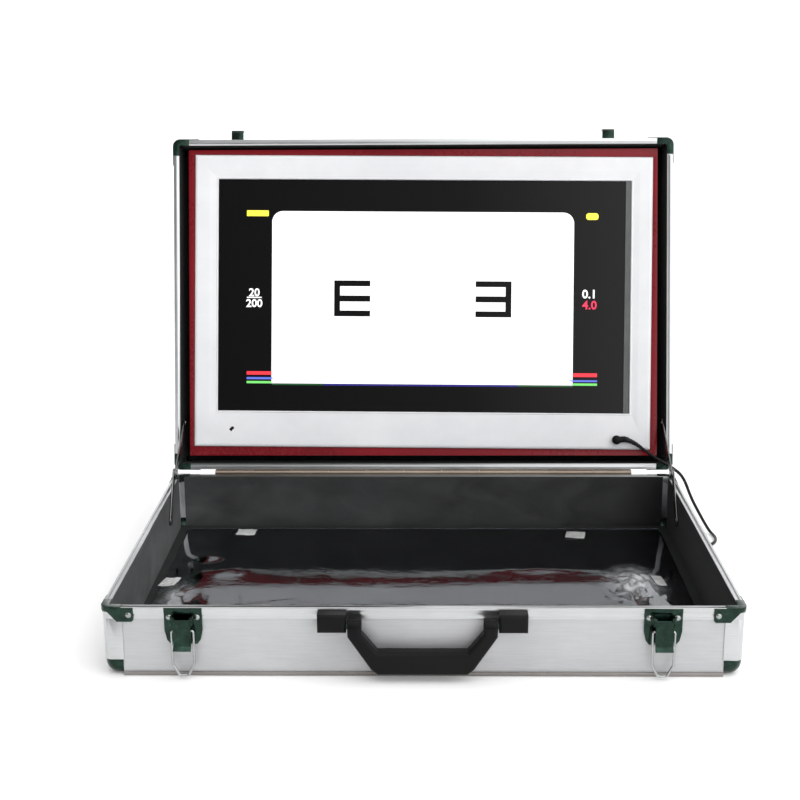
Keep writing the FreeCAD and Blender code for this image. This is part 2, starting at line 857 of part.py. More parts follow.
def handle_mount():
    high = handle_mount_low + handle_mount_height
    front = front_leg_y - handle_mount_depth
    body = box(mount_inner, mount_outer, front, front_leg_y, handle_mount_low, high)
    front_edges = []
    for edge in body.Edges:
        middle = edge.valueAt((edge.FirstParameter + edge.LastParameter) / 2.0)
        if abs(middle.y - front) < 0.01:
            front_edges.append(edge)
    body = body.makeFillet(3.5, front_edges)
    step = box(mount_inner + 1, mount_outer - 1, front_leg_y, front_panel_y, handle_mount_low + 1,
               base_height - rim_drop - 0.4)
    body = body.fuse(step).removeSplitter()
    lip_room = box(mount_inner - 1, mount_outer + 1, -half_depth - mount_lip_gap, front_leg_y + 1,
                   base_height - lip_height - mount_lip_gap, high + 1)
    body = body.cut(lip_room)
    bore = cylinder((mount_inner - 1, handle_pivot_y, handle_pivot_height),
                    (handle_pin_end + 0.5, handle_pivot_y, handle_pivot_height),
                    handle_pin_radius + pin_clearance)
    return body.cut(bore)


def handle_grip():
    half_thick = handle_thickness / 2.0
    y0 = handle_pivot_y - half_thick
    grip_high = handle_low + handle_grip_height
    half_grip = handle_grip_width / 2.0
    outline = [
        (-arm_outer, y0, handle_pivot_height),
        (-arm_outer, y0, handle_pivot_height - 9.0),
        (-half_grip - 6.0, y0, handle_low + 5.0),
        (-half_grip, y0, handle_low),
        (half_grip, y0, handle_low),
        (half_grip + 6.0, y0, handle_low + 5.0),
        (arm_outer, y0, handle_pivot_height - 9.0),
        (arm_outer, y0, handle_pivot_height),
        (arm_inner, y0, handle_pivot_height),
        (arm_inner, y0, handle_pivot_height - 6.0),
        (half_grip, y0, grip_high),
        (-half_grip, y0, grip_high),
        (-arm_inner, y0, handle_pivot_height - 6.0),
        (-arm_inner, y0, handle_pivot_height),
    ]
    body = prism(outline, (0, handle_thickness, 0))
    long_edges = []
    for edge in body.Edges:
        middle = edge.valueAt((edge.FirstParameter + edge.LastParameter) / 2.0)
        on_face = abs(abs(middle.y - handle_pivot_y) - half_thick) < 0.01
        if on_face and middle.z < handle_pivot_height - 0.1:
            long_edges.append(edge)
    body = body.makeFillet(3.8, long_edges)
    eyes = []
    for side in (left_side, right_side):
        eyes.append(cylinder((side * arm_inner, handle_pivot_y, handle_pivot_height),
                             (side * arm_outer, handle_pivot_y, handle_pivot_height), handle_eye_radius))
    body = fused([body] + eyes)
    bore = cylinder((-arm_outer - 1, handle_pivot_y, handle_pivot_height),
                    (arm_outer + 1, handle_pivot_y, handle_pivot_height), handle_pin_radius + pin_clearance)
    return body.cut(bore)


def handle_pin():
    return cylinder((arm_inner + 0.5, handle_pivot_y, handle_pivot_height),
                    (handle_pin_end, handle_pivot_y, handle_pivot_height), handle_pin_radius)


# Folding stays, right-hand side. The bars lie side by side, clear of the lining.

stay_wall = half_width - lining_inner
lower_outer = stay_wall - stay_gap
lower_inner = lower_outer - stay_bar_thickness
upper_outer = lower_inner - stay_gap
upper_inner = upper_outer - stay_bar_thickness


def stay_geometry():
    # pivots at rest, and the elbow where the two bars meet on the side of the front
    lid_pivot = face_point(0, stay_lid_from_rear, -stay_lid_depth)[1:]
    dy = lid_pivot[0] - stay_base_y
    dz = lid_pivot[1] - stay_base_z
    span = math.hypot(dy, dz)
    cosine = (stay_lower_length ** 2 + span ** 2 - stay_upper_length ** 2) / (2 * stay_lower_length * span)
    lower_angle = math.atan2(dz, dy) + math.acos(cosine)
    elbow = (stay_base_y + stay_lower_length * math.cos(lower_angle),
             stay_base_z + stay_lower_length * math.sin(lower_angle))
    return lid_pivot, elbow


def stay_bar(start, end, x0, x1):
    length = math.hypot(end[0] - start[0], end[1] - start[1])
    angle = math.degrees(math.atan2(end[1] - start[1], end[0] - start[0]))
    half = stay_bar_width / 2.0
    bar = fused([
        box(x0, x1, 0, length, -half, half),
        cylinder((x0, 0, 0), (x1, 0, 0), half),
        cylinder((x0, length, 0), (x1, length, 0), half),
    ])
    return moved(turned(bar, (0, 0, 0), x_axis, angle), 0, start[0], start[1])


def pivot_hole(place):
    return cylinder((0, place[0], place[1]), (half_width, place[0], place[1]),
                    stay_rivet_radius + pin_clearance)


def stay_parts():
    lid_pivot, elbow = stay_geometry()
    base_pivot = (stay_base_y, stay_base_z)
    lower = stay_bar(base_pivot, elbow, lower_inner, lower_outer)
    upper = stay_bar(elbow, lid_pivot, upper_inner, upper_outer)
    lower = lower.cut(pivot_hole(base_pivot))
    upper = upper.cut(pivot_hole(lid_pivot)).cut(pivot_hole(elbow))
    base_rivet = fused([
        cylinder((stay_wall, *base_pivot), (lower_inner, *base_pivot), stay_rivet_radius),
        cylinder((lower_inner, *base_pivot), (lower_inner - stay_head_height, *base_pivot), stay_head_radius),
    ])
    lid_rivet = fused([
        cylinder((stay_wall, *lid_pivot), (upper_inner, *lid_pivot), stay_rivet_radius),
        cylinder((stay_wall, *lid_pivot), (upper_outer + 0.2, *lid_pivot), stay_head_radius),
        cylinder((upper_inner, *lid_pivot), (upper_inner - stay_head_height, *lid_pivot), stay_head_radius),
    ])
    elbow_rivet = fused([
        cylinder((upper_outer, *elbow), (upper_inner, *elbow), stay_rivet_radius),
        cylinder((upper_inner, *elbow), (upper_inner - stay_head_height, *elbow), stay_head_radius),
    ])
    return lower, upper, base_rivet, lid_rivet, elbow_rivet


# Chart monitor, in the lid face's frame

def frame_plate(across, up, width, height, window, out_low, out_high, radius):
    outer = rounded_rectangle(across - width / 2.0, across + width / 2.0, up - height / 2.0,
                              up + height / 2.0, radius, out_low, out_high)
    wx, wy, ww, wh = window
    hole = box(wx - ww / 2.0, wx + ww / 2.0, wy - wh / 2.0, wy + wh / 2.0, out_low - 1, out_high + 1)
    return outer.cut(hole)


def turned_monitor(shape):
    return face_at_rest(turned(shape, (0, bezel_up, 0), z_axis, monitor_turn_deg))


bezel_front = -bezel_sink
bezel_back = bezel_front - bezel_depth
screen_front = bezel_front - screen_recess
lcd_back = screen_front - lcd_thickness
cover_front = bezel_back
cover_back = cover_front - cover_depth
lid_inner_out = -(lid_height - floor_top)
screen_centre_up = bezel_up + screen_up
chart_front = screen_front + chart_layer


def monitor_bezel():
    window = (screen_across, screen_centre_up, screen_width, screen_height)
    face = frame_plate(0, bezel_up, bezel_width, bezel_height, window, screen_front, bezel_front, bezel_round)
    inner = (0, bezel_up, bezel_width - 2 * bezel_sheet, bezel_height - 2 * bezel_sheet)
    skirt = frame_plate(0, bezel_up, bezel_width, bezel_height, inner, bezel_back, screen_front, bezel_round)
    bezel = face.fuse(skirt).removeSplitter()
    front_edges = []
    for edge in bezel.Edges:
        middle = edge.valueAt((edge.FirstParameter + edge.LastParameter) / 2.0)
        on_front = abs(middle.z - bezel_front) < 0.01
        at_side = abs(abs(middle.x) - bezel_width / 2.0) < bezel_round
        at_end = abs(abs(middle.y - bezel_up) - bezel_height / 2.0) < bezel_round
        if on_front and (at_side or at_end):
            front_edges.append(edge)
    bezel = bezel.makeFillet(1.5, front_edges)
    sensor = cylinder((sensor_across, sensor_up, bezel_front + 1), (sensor_across, sensor_up, screen_front - 1),
                      sensor_radius + pin_clearance)
    jack = cylinder((plug_across, plug_up, bezel_front + 1), (plug_across, plug_up, screen_front - 1),
                    jack_radius + pin_clearance)
    return bezel.cut(sensor).cut(jack)


def lcd_panel():
    width = screen_width + 2 * screen_lap
    height = screen_height + 2 * screen_lap
    return box(screen_across - width / 2.0, screen_across + width / 2.0, screen_centre_up - height / 2.0,
               screen_centre_up + height / 2.0, lcd_back, screen_front)


def rear_cover():
    half_x = bezel_width / 2.0 - cover_inset
    half_y = bezel_height / 2.0 - cover_inset
    back_x = half_x - cover_back_inset
    back_y = half_y - cover_back_inset
    middle = cover_front - cover_depth * 0.45

    def stack(inset, back):
        rim = box(-half_x + inset, half_x - inset, bezel_up - half_y + inset, bezel_up + half_y - inset,
                  middle + inset, cover_front)
        step = box(-back_x + inset, back_x - inset, bezel_up - back_y + inset, bezel_up + back_y - inset,
                   back + inset, cover_front)
        return rim.fuse(step)

    cover = stack(0.0, cover_back).cut(stack(cover_sheet, cover_back))
    return cover.removeSplitter()


def monitor_board():
    out_low = cover_back + cover_sheet + board_standoff
    board = box(-board_width / 2.0, board_width / 2.0, bezel_up - board_height / 2.0,
                bezel_up + board_height / 2.0, out_low, out_low + board_thickness)
    posts = []
    for sx in (-1, 1):
        for sy in (-1, 1):
            x = sx * (board_width / 2.0 - 6.0)
            y = bezel_up + sy * (board_height / 2.0 - 6.0)
            posts.append(cylinder((x, y, cover_back + cover_sheet), (x, y, out_low), 3.0))
    chips = box(-30, 10, bezel_up - 12, bezel_up + 16, out_low + board_thickness,
                out_low + board_thickness + 2.0)
    return fused([board, chips] + posts)


def red_trim():
    # four strips of red-faced board, cut to follow the monitor's edge, on battens that reach the lining
    half_x = bezel_width / 2.0 + red_trim_side_gap
    half_y = bezel_height / 2.0 + red_trim_side_gap
    turn_room = math.radians(abs(monitor_turn_deg)) * bezel_width / 2.0
    out_high = -red_trim_sink
    out_low = out_high - red_trim_thickness
    left = -red_trim_width / 2.0
    right = red_trim_width / 2.0
    low = red_trim_up - red_trim_height / 2.0
    high = red_trim_up + red_trim_height / 2.0
    strip_low = bezel_up - half_y + turn_room
    strip_high = bezel_up + half_y - turn_room
    strips = [
        box(left, right, low, strip_low, out_low, out_high),
        box(left, right, strip_high, high, out_low, out_high),
        box(left, 0, strip_low, strip_high, out_low, out_high),
        box(0, right, strip_low, strip_high, out_low, out_high),
    ]
    monitor = box(-half_x, half_x, bezel_up - half_y, bezel_up + half_y, out_low - 1, out_high + 1)
    monitor = turned(monitor, (0, bezel_up, 0), z_axis, monitor_turn_deg)
    return [strip.cut(monitor) for strip in strips]


def lid_battens():
    # battens between the red strips and the lid's inner face, and the pads behind the monitor
    out_low = -red_trim_sink - red_trim_thickness
    half_x = red_trim_width / 2.0
    low = red_trim_up - red_trim_height / 2.0
    high = red_trim_up + red_trim_height / 2.0
    battens = []
    for side in (left_side, right_side):
        battens.append(box(side * (half_x - batten_width), side * half_x, low + batten_low_gap,
                           high - batten_width, lid_inner_out, out_low))
    battens.append(box(-batten_length / 2.0, batten_length / 2.0, low, low + batten_width,
                       lid_inner_out, out_low))
    battens.append(box(-batten_length / 2.0, batten_length / 2.0, high - batten_width, high,
                       lid_inner_out, out_low))
    pads = []
    for sx in (-1, 1):
        for sy in (-1, 1):
            x = sx * mount_pad_spacing / 2.0
            y = bezel_up + sy * mount_pad_spacing / 2.0
            half = mount_pad_size / 2.0
            pads.append(box(x - half, x + half, y - half, y + half, lid_inner_out, cover_back))
    return battens + pads


def chart_letter(across, up, open_side):
    # one three-barred figure: a spine and three equal bars, five strokes square
    stroke = letter_size / 5.0
    low = chart_front - chart_layer
    spine_x = across - open_side * (letter_size - stroke) / 2.0
    pieces = [box(spine_x - stroke / 2.0, spine_x + stroke / 2.0, up - letter_size / 2.0,
                  up + letter_size / 2.0, low, chart_front)]
    for step in (-2, 0, 2):
        middle = up + step * stroke
        pieces.append(box(across - letter_size / 2.0, across + letter_size / 2.0, middle - stroke / 2.0,
                          middle + stroke / 2.0, low, chart_front))
    return fused(pieces)


def chart_letters():
    left = chart_letter(screen_across - letter_spacing / 2.0, screen_centre_up + letter_up, 1)
    right = chart_letter(screen_across + letter_spacing / 2.0, screen_centre_up + letter_up, -1)
    return [left, right]


def chart_field():
    low = chart_front - chart_layer
    middle_up = screen_centre_up + field_up
    field = rounded_rectangle(screen_across - field_width / 2.0, screen_across + field_width / 2.0,
                              middle_up - field_height / 2.0, middle_up + field_height / 2.0,
                              field_corner, low, chart_front)
    for letter in chart_letters():
        field = field.cut(letter)
    return field


def sensor_window():
    return cylinder((sensor_across, sensor_up, bezel_front), (sensor_across, sensor_up, screen_front), sensor_radius)


def dc_jack():
    return cylinder((plug_across, plug_up, bezel_front), (plug_across, plug_up, screen_front), jack_radius)


def dc_plug():
    body = box(plug_across - plug_length / 2.0, plug_across + plug_length / 2.0, plug_up - plug_height / 2.0,
               plug_up + plug_height / 2.0, bezel_front, bezel_front + plug_thickness)
    along = [edge for edge in body.Edges if abs(edge.tangentAt(edge.FirstParameter).x) > 0.99
             and edge.valueAt(edge.FirstParameter).z > bezel_front + 1]
    return body.makeFillet(2.5, along)


# Lead: route from the plug over the lid's corner to the floor, and back behind the case

lead_radius = lead_diameter / 2.0
lead_out = bezel_front + plug_thickness / 2.0
lead_route = [
    face_point(plug_across + plug_length / 2.0, plug_up - 1.0, lead_out),
    face_point(242.5, 31.5, lead_out + 0.3),
    face_point(255.0, 22.0, lead_out + 2.5),
    face_point(269.0, 12.0, lead_out + 6.0),
    face_point(284.5, 3.5, lead_out + 10.0),
    (299.0, 187.0, 65.0),
    (308.5, 188.5, 40.0),
    (321.0, 188.5, 17.0),
    (329.5, 176.0, lead_rest_height),
    (333.5, 154.0, lead_rest_height),
    (326.0, 134.0, lead_rest_height),
    (308.0, 128.0, lead_rest_height),
    (297.5, 142.0, lead_rest_height),
    (295.5, 163.0, lead_rest_height),
    (297.0, 187.0, lead_rest_height),
    (287.0, 208.0, lead_rest_height),
    (270.0, 220.0, lead_rest_height),
]
lead_split_run = 5


def lead_parts():
    points = [FreeCAD.Vector(*point) for point in lead_route]
    runs = [(b - a).Length for a, b in zip(points, points[1:])]
    radii = []
    for index in range(1, len(points) - 1):
        turn = (points[index] - points[index - 1]).getAngle(points[index + 1] - points[index])
        radii.append(0.45 * min(runs[index - 1], runs[index]) / math.tan(turn / 2.0))
    print("lead arc radii in mm:", [round(radius, 1) for radius in radii])
    edges = wire_path(lead_route, radii)
    cut_edge = edges[2 * lead_split_run]
    first = cut_edge.valueAt(cut_edge.FirstParameter)
    last = cut_edge.valueAt(cut_edge.LastParameter)
    middle = (first + last) * 0.5
    upper_edges = edges[:2 * lead_split_run] + [Part.LineSegment(first, middle).toShape()]
    lower_edges = [Part.LineSegment(middle, last).toShape()] + edges[2 * lead_split_run + 1:]
    tubes = []
    for part_edges in (upper_edges, lower_edges):
        solid = tube(part_edges, lead_radius)
        length = sum(edge.Length for edge in part_edges)
        ratio = solid.Volume / (length * math.pi * lead_radius ** 2)
        print("lead length %.1f mm, volume over section times length %.4f" % (length, ratio))
        tubes.append(solid)
    print("lead split height %.1f mm" % middle.z)
    return tubes


def lead_coil():
    # the coil's outer shape, with the lead's run into it and its run out to the adapter
    half_band = coil_columns * lead_radius
    height = coil_layers * lead_diameter
    centre = FreeCAD.Vector(coil_across, coil_back, 0)
    ring = Part.makeCylinder(coil_turn_radius + half_band, height, centre)
    ring = ring.cut(Part.makeCylinder(coil_turn_radius - half_band, height, centre))
    way_in = math.radians(coil_entry_deg)
    entry = FreeCAD.Vector(coil_across + coil_turn_radius * math.cos(way_in),
                           coil_back + coil_turn_radius * math.sin(way_in), lead_rest_height)
    end = FreeCAD.Vector(*lead_route[-1])
    neck = Part.makeCylinder(lead_radius, (entry - end).Length, end, entry - end)
    y = coil_back - coil_turn_radius
    tail = cylinder((coil_across, y, height - lead_diameter), (coil_across - coil_tail, y, relief_height),
                    lead_radius)
    return fused([ring, tail, neck])


def power_adapter():
    x1 = coil_across - coil_tail - relief_length
    y = coil_back - coil_turn_radius
    body = box(x1 - adapter_length, x1, y - adapter_width / 2.0, y + adapter_width / 2.0, 0, adapter_height)
    body = body.makeFillet(3.0, [edge for edge in body.Edges
                                 if edge.valueAt(edge.FirstParameter).z > 1 or edge.valueAt(edge.LastParameter).z > 1])
    relief = Part.makeCone(lead_radius + 0.2, relief_radius, relief_length,
                           FreeCAD.Vector(x1 + relief_length, y, relief_height), FreeCAD.Vector(-1, 0, 0))
    prongs = []
    for side in (-1, 1):
        y_mid = y + side * prong_spacing / 2.0
        z_mid = adapter_height / 2.0
        prongs.append(box(x1 - adapter_length - prong_length, x1 - adapter_length + 1,
                          y_mid - prong_thickness / 2.0, y_mid + prong_thickness / 2.0,
                          z_mid - prong_width / 2.0, z_mid + prong_width / 2.0))
    return fused([body, relief] + prongs)


def film_tapes():
    # two pieces hold the film's back edge and two its sides
    top = floor_top + film_thickness
    film_x = half_width - lining_inner - film_margin
    film_y = half_depth - lining_inner - film_margin
    places = [
        (-film_x + back_tape_from_side, film_y - back_tape_from_back, back_tape, -tape_turn_deg),
        (film_x - back_tape_from_side - side_tape_from_side, film_y - back_tape_from_back, back_tape, tape_turn_deg),
        (-film_x + side_tape_from_side, side_tape_forward, side_tape, tape_turn_deg),
        (film_x - 2.0 * side_tape_from_side, side_tape_forward, side_tape, -tape_turn_deg),
    ]
    tapes = []
    for x, y, (width, depth), angle in places:
        strip = box(x - width / 2.0, x + width / 2.0, y - depth / 2.0, y + depth / 2.0, top, top + tape_thickness)
        tapes.append(turned(strip, (x, y, 0), z_axis, angle))
    return tapes


def build():
    pieces = {}
    base = case_half(base_height, True)
    lid = case_half(lid_height, False)
    for side in ("front", "back", "left", "right"):
        pieces["base_%s_panel" % side] = base["panel_" + side]
    pieces["base_rims"] = group([base["rim_" + side] for side in ("front", "right", "back", "left")])
    pieces["base_bottom_panel"] = base["skin"]
    pieces["base_bottom_edges"] = group([base["edge_" + side] for side in ("front", "right", "back", "left")])
    pieces["base_corner_posts"] = group(base["posts"])
    pieces["base_corner_caps"] = group(base["caps"])
    pieces["base_rim_brackets"] = group(base["brackets"])
    pieces["base_wall_lining"] = group([base["lining_" + side] for side in ("front", "right", "back", "left")])
    pieces["base_floor_lining"] = base["floor"]
    film_x = half_width - lining_inner - film_margin
    film_y = half_depth - lining_inner - film_margin
    pieces["floor_film"] = box(-film_x, film_x, -film_y, film_y, floor_top, floor_top + film_thickness)
    pieces["film_tapes"] = group(film_tapes())

    pieces["lid_skin_panel"] = lid_at_rest(lid["skin"])
    pieces["lid_wall_panels"] = group([lid_at_rest(lid["panel_" + s]) for s in ("front", "right", "back", "left")])
    pieces["lid_rims"] = group([lid_at_rest(lid["rim_" + s]) for s in ("front", "right", "back", "left")])
    pieces["lid_edges"] = group([lid_at_rest(lid["edge_" + s]) for s in ("front", "right", "back", "left")])
    pieces["lid_corner_posts"] = group([lid_at_rest(item) for item in lid["posts"]])
    pieces["lid_corner_caps"] = group([lid_at_rest(item) for item in lid["caps"]])
    pieces["lid_rim_brackets"] = group([lid_at_rest(item) for item in lid["brackets"]])
    pieces["lid_wall_lining"] = group([lid_at_rest(lid["lining_" + s]) for s in ("front", "right", "back", "left")])
    pieces["lid_back_lining"] = lid_at_rest(lid["floor"])

    base_leaves, lid_leaves, hinge_pins, hinge_base_rivets, hinge_lid_rivets = hinge_parts()
    pieces["hinge_base_leaves"] = group(base_leaves)
    pieces["hinge_lid_leaves"] = group(lid_leaves)
    pieces["hinge_pins"] = group(hinge_pins)

    base_rivets = base["rivets"] + hinge_base_rivets
    lid_rivets = [lid_at_rest(item) for item in lid["rivets"]] + hinge_lid_rivets
    plates = []
    pins = []
    catches = []
    for name, side in (("left", left_side), ("right", right_side)):
        centre = side * latch_across
        plate = moved(latch_plate(), centre, 0, 0)
        hook = moved(catch(), centre, 0, 0)
        for offset in (-latch_rivet_spacing / 2.0, latch_rivet_spacing / 2.0):
            x = centre + offset
            z = base_height - latch_rivet_drop
            base_rivets.append(rivet(x, latch_face_y, z, (0, -1, 0), latch_sheet))
            plate = plate.cut(rivet_hole(x, latch_face_y, z, (0, -1, 0), latch_sheet))
            catch_z = lid_rim_z + lip_height + catch_height / 2.0
            catch_face = front_leg_y - catch_sheet
            lid_rivets.append(opened(rivet(x, catch_face, catch_z, (0, -1, 0), catch_sheet)))
            hook = hook.cut(rivet_hole(x, catch_face, catch_z, (0, -1, 0), catch_sheet))
        plates.append(plate)
        pins.append(moved(latch_pin(), centre, 0, 0))
        catches.append(opened(hook))
        pieces["latch_lever_" + name] = moved(latch_lever(), centre, 0, 0)
        pieces["latch_bail_" + name] = moved(latch_bail(), centre, 0, 0)
    pieces["latch_plates"] = group(plates)
    pieces["lid_catches"] = group(catches)

    mount = handle_mount()
    pieces["handle_mounts"] = group([mount, mirrored_x(mount)])
    pieces["handle_grip"] = handle_grip()
    pieces["pivot_pins"] = group(pins + [handle_pin(), mirrored_x(handle_pin())])

    lower, upper, base_rivet, lid_rivet, elbow_rivet = stay_parts()
    pieces["stay_lower_right"] = lower
    pieces["stay_lower_left"] = mirrored_x(lower)
    pieces["stay_upper_right"] = upper
    pieces["stay_upper_left"] = mirrored_x(upper)
    pieces["stay_elbow_right"] = elbow_rivet
    pieces["stay_elbow_left"] = mirrored_x(elbow_rivet)
    pieces["stay_base_rivets"] = group([base_rivet, mirrored_x(base_rivet)])
    pieces["stay_lid_rivets"] = group([lid_rivet, mirrored_x(lid_rivet)])
    pieces["base_rivets"] = group(base_rivets)
    pieces["lid_rivets"] = group(lid_rivets)

    pieces["monitor_bezel"] = turned_monitor(monitor_bezel())
    pieces["lcd_panel"] = turned_monitor(lcd_panel())
    pieces["monitor_rear_cover"] = turned_monitor(rear_cover())
    pieces["monitor_board"] = turned_monitor(monitor_board())
    pieces["chart_field"] = turned_monitor(chart_field())
    pieces["chart_letters"] = group([turned_monitor(letter) for letter in chart_letters()])
    pieces["sensor_window"] = turned_monitor(sensor_window())
    pieces["dc_jack"] = turned_monitor(dc_jack())
    pieces["dc_plug"] = turned_monitor(dc_plug())
    pieces["red_trim"] = group([face_at_rest(strip) for strip in red_trim()])
    pieces["lid_battens"] = group([face_at_rest(batten) for batten in lid_battens()])

    lead_upper, lead_lower = lead_parts()
    pieces["lead_upper"] = lead_upper
    pieces["lead_lower"] = lead_lower
    pieces["lead_coil"] = lead_coil()
    pieces["power_adapter"] = power_adapter()
    return pieces


def main():
    os.makedirs("parts", exist_ok=True)
    pieces = build()
    for name, shape in sorted(pieces.items()):
        if not shape.isValid() or not shape.Solids:
            print("CHECK", name, "valid", shape.isValid(), "solids", len(shape.Solids))
        shape.exportStep(os.path.join("parts", name + ".step"))
    print("nodes", len(pieces))


main()
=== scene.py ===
import json
import math
import bmesh
import bpy
from mathutils import Matrix, Vector, noise


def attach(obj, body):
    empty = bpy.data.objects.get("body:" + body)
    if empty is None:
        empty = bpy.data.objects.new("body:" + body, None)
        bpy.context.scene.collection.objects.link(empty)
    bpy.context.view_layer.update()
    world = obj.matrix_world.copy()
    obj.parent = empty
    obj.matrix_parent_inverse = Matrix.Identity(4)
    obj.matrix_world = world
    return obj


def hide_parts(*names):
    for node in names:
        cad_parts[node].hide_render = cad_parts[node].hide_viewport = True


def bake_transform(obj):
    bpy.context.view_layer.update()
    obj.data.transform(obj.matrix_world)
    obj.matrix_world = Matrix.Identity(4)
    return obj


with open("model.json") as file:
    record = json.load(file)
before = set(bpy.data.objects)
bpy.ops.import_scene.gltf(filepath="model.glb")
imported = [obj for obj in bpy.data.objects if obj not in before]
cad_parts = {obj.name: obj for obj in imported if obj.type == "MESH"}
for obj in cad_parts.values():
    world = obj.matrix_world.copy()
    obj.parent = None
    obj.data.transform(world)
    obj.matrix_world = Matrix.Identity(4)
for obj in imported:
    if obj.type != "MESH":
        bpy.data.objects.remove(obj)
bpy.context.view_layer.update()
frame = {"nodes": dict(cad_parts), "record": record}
nodes = frame["nodes"]
bodyOf = {name: body for body, members in frame["record"]["behaviour"]["bodies"].items() for name in members}
print("stage: frame loaded,", len(nodes), "nodes")


def addObject(name, data):
    made = bpy.data.objects.new(name, data)
    bpy.context.scene.collection.objects.link(made)
    return made


def settle(name, data, addModifiers=None):
    # a curve, or a mesh with its modifiers worked out, as a plain mesh
    holder = addObject(name, data)
    if addModifiers is not None:
        addModifiers(holder)
    result = bpy.data.meshes.new_from_object(holder.evaluated_get(bpy.context.evaluated_depsgraph_get()))
    bpy.data.objects.remove(holder)
    result.name = name
    return result


def setInputs(node, values):
    for name, value in values.items():
        node.inputs[name].default_value = value


# Camera, fitted to the photograph's edges

cameraSettings = {
    "place": (0.00157, -1.32352, 0.56318),
    "lens": 62.088,
    "sensor": 36.0,
    "pitch": 15.08,  # degrees down
    "yaw": -1.036,
    "roll": -0.32,
}


def makeCamera(settings):
    pitch, yaw, roll = (math.radians(settings[turn]) for turn in ("pitch", "yaw", "roll"))
    forward = Vector((math.sin(yaw) * math.cos(pitch), math.cos(yaw) * math.cos(pitch), -math.sin(pitch)))
    level = Vector((math.cos(yaw), -math.sin(yaw), 0))
    upright = level.cross(forward)
    right = math.cos(roll) * level + math.sin(roll) * upright
    up = -math.sin(roll) * level + math.cos(roll) * upright
    data = bpy.data.cameras.new("camera")
    data.lens = settings["lens"]
    data.sensor_width = settings["sensor"]
    data.clip_start = 0.05
    camera = addObject("camera", data)
    turned = Matrix((right, up, -forward)).transposed().to_4x4()
    camera.matrix_world = Matrix.Translation(settings["place"]) @ turned
    bpy.context.scene.camera = camera


makeCamera(cameraSettings)

# Places in the open lid: across, up from the hinge edge, out from the rim plane

lidSettings = {
    "hinge": (0.194, 0.0673),
    "rimEdge": (0.190, 0.0681),
    "openDegrees": 103.75,
    "bezelUp": 0.1929,
    "monitorTurn": -0.5,
    "bezelFront": -0.0045,
}


def facePoint(across, up, out):
    hingeY, hingeZ = lidSettings["hinge"]
    y = lidSettings["rimEdge"][0] - up - hingeY
    z = lidSettings["rimEdge"][1] - out - hingeZ
    angle = math.radians(lidSettings["openDegrees"])
    return Vector((across, hingeY + y * math.cos(angle) + z * math.sin(angle),
                   hingeZ - y * math.sin(angle) + z * math.cos(angle)))


def onMonitor(across, rise, out):
    # counted from the monitor's middle and turned with it
    angle = math.radians(lidSettings["monitorTurn"])
    x = across * math.cos(angle) - rise * math.sin(angle)
    y = lidSettings["bezelUp"] + across * math.sin(angle) + rise * math.cos(angle)
    return facePoint(x, y, out)


# Lead: the same route as the CAD tube, then the coil's turns and the run to the adapter

leadSettings = {
    "diameter": 0.0035,
    "coilCentre": (0.246, 0.240),
    "turnRadius": 0.021,
    "columns": 2,
    "layers": 4,
    "pointsPerTurn": 12,
    "restHeight": 0.0024,
    "reliefHeight": 0.007,
    "coilTail": 0.046,
    "squeeze": 0.98,  # the columns' spacing against the diameter
    "chord": 0.966,  # how far inside its points a curve of this order turns
}


def leadRoute():
    out = lidSettings["bezelFront"] + 0.004
    rest = leadSettings["restHeight"]
    return [
        facePoint(0.233, 0.0346, out),
        facePoint(0.2425, 0.0315, out + 0.0003),
        facePoint(0.255, 0.022, out + 0.0025),
        facePoint(0.269, 0.012, out + 0.006),
        facePoint(0.2845, 0.0035, out + 0.010),
        Vector((0.299, 0.187, 0.065)),
        Vector((0.3085, 0.1885, 0.040)),
        Vector((0.321, 0.1885, 0.017)),
        Vector((0.3295, 0.176, rest)),
        Vector((0.3335, 0.154, rest)),
        Vector((0.326, 0.134, rest)),
        Vector((0.308, 0.128, rest)),
        Vector((0.2975, 0.142, rest)),
        Vector((0.2955, 0.163, rest)),
        Vector((0.297, 0.187, rest)),
        Vector((0.287, 0.208, rest)),
        Vector((0.270, 0.220, rest)),
    ]


def coilRoute(settings):
    centreX, centreY = settings["coilCentre"]
    step = settings["diameter"]
    count = settings["pointsPerTurn"]
    points = []
    for index in range(settings["columns"] * settings["layers"] * count + 1):
        turn = index / count
        layer = min(int(turn / settings["columns"]), settings["layers"] - 1)
        across = turn - layer * settings["columns"]
        side = 1 if layer % 2 == 0 else -1  # in on one layer, out on the next
        offset = side * (0.5 - min(max(across, 0.0), 1.999) / 2.0) * step * settings["squeeze"]
        radius = (settings["turnRadius"] + offset) / settings["chord"]
        layerRise = min(max((across - 1.7) / 0.3, 0.0), 1.0) if layer < settings["layers"] - 1 else 0.0
        height = step * (layer + layerRise + 0.5) + 0.0002
        angle = math.radians(-75.0) - index / count * 2.0 * math.pi
        x = centreX + radius * math.cos(angle)
        points.append(Vector((x, centreY + radius * math.sin(angle), height)))
    return points


def tailRoute(settings):
    centreX, centreY = settings["coilCentre"]
    y = centreY - settings["turnRadius"]
    return [
        Vector((centreX - 0.0125, y - 0.0005, 0.0118)),
        Vector((centreX - 0.024, y, 0.0098)),
        Vector((centreX - 0.036, y, 0.0076)),
        Vector((centreX - settings["coilTail"], y, settings["reliefHeight"])),
    ]


def splinePath(name, points):
    curve = bpy.data.curves.new(name, "CURVE")
    curve.dimensions = "3D"
    spline = curve.splines.new("NURBS")
    spline.points.add(len(points) - 1)
    for slot, point in zip(spline.points, points):
        slot.co = (*point, 1.0)
    spline.order_u = 3
    spline.use_endpoint_u = True
    spline.resolution_u = 5
    return [vertex.co.copy() for vertex in settle(name, curve).vertices]


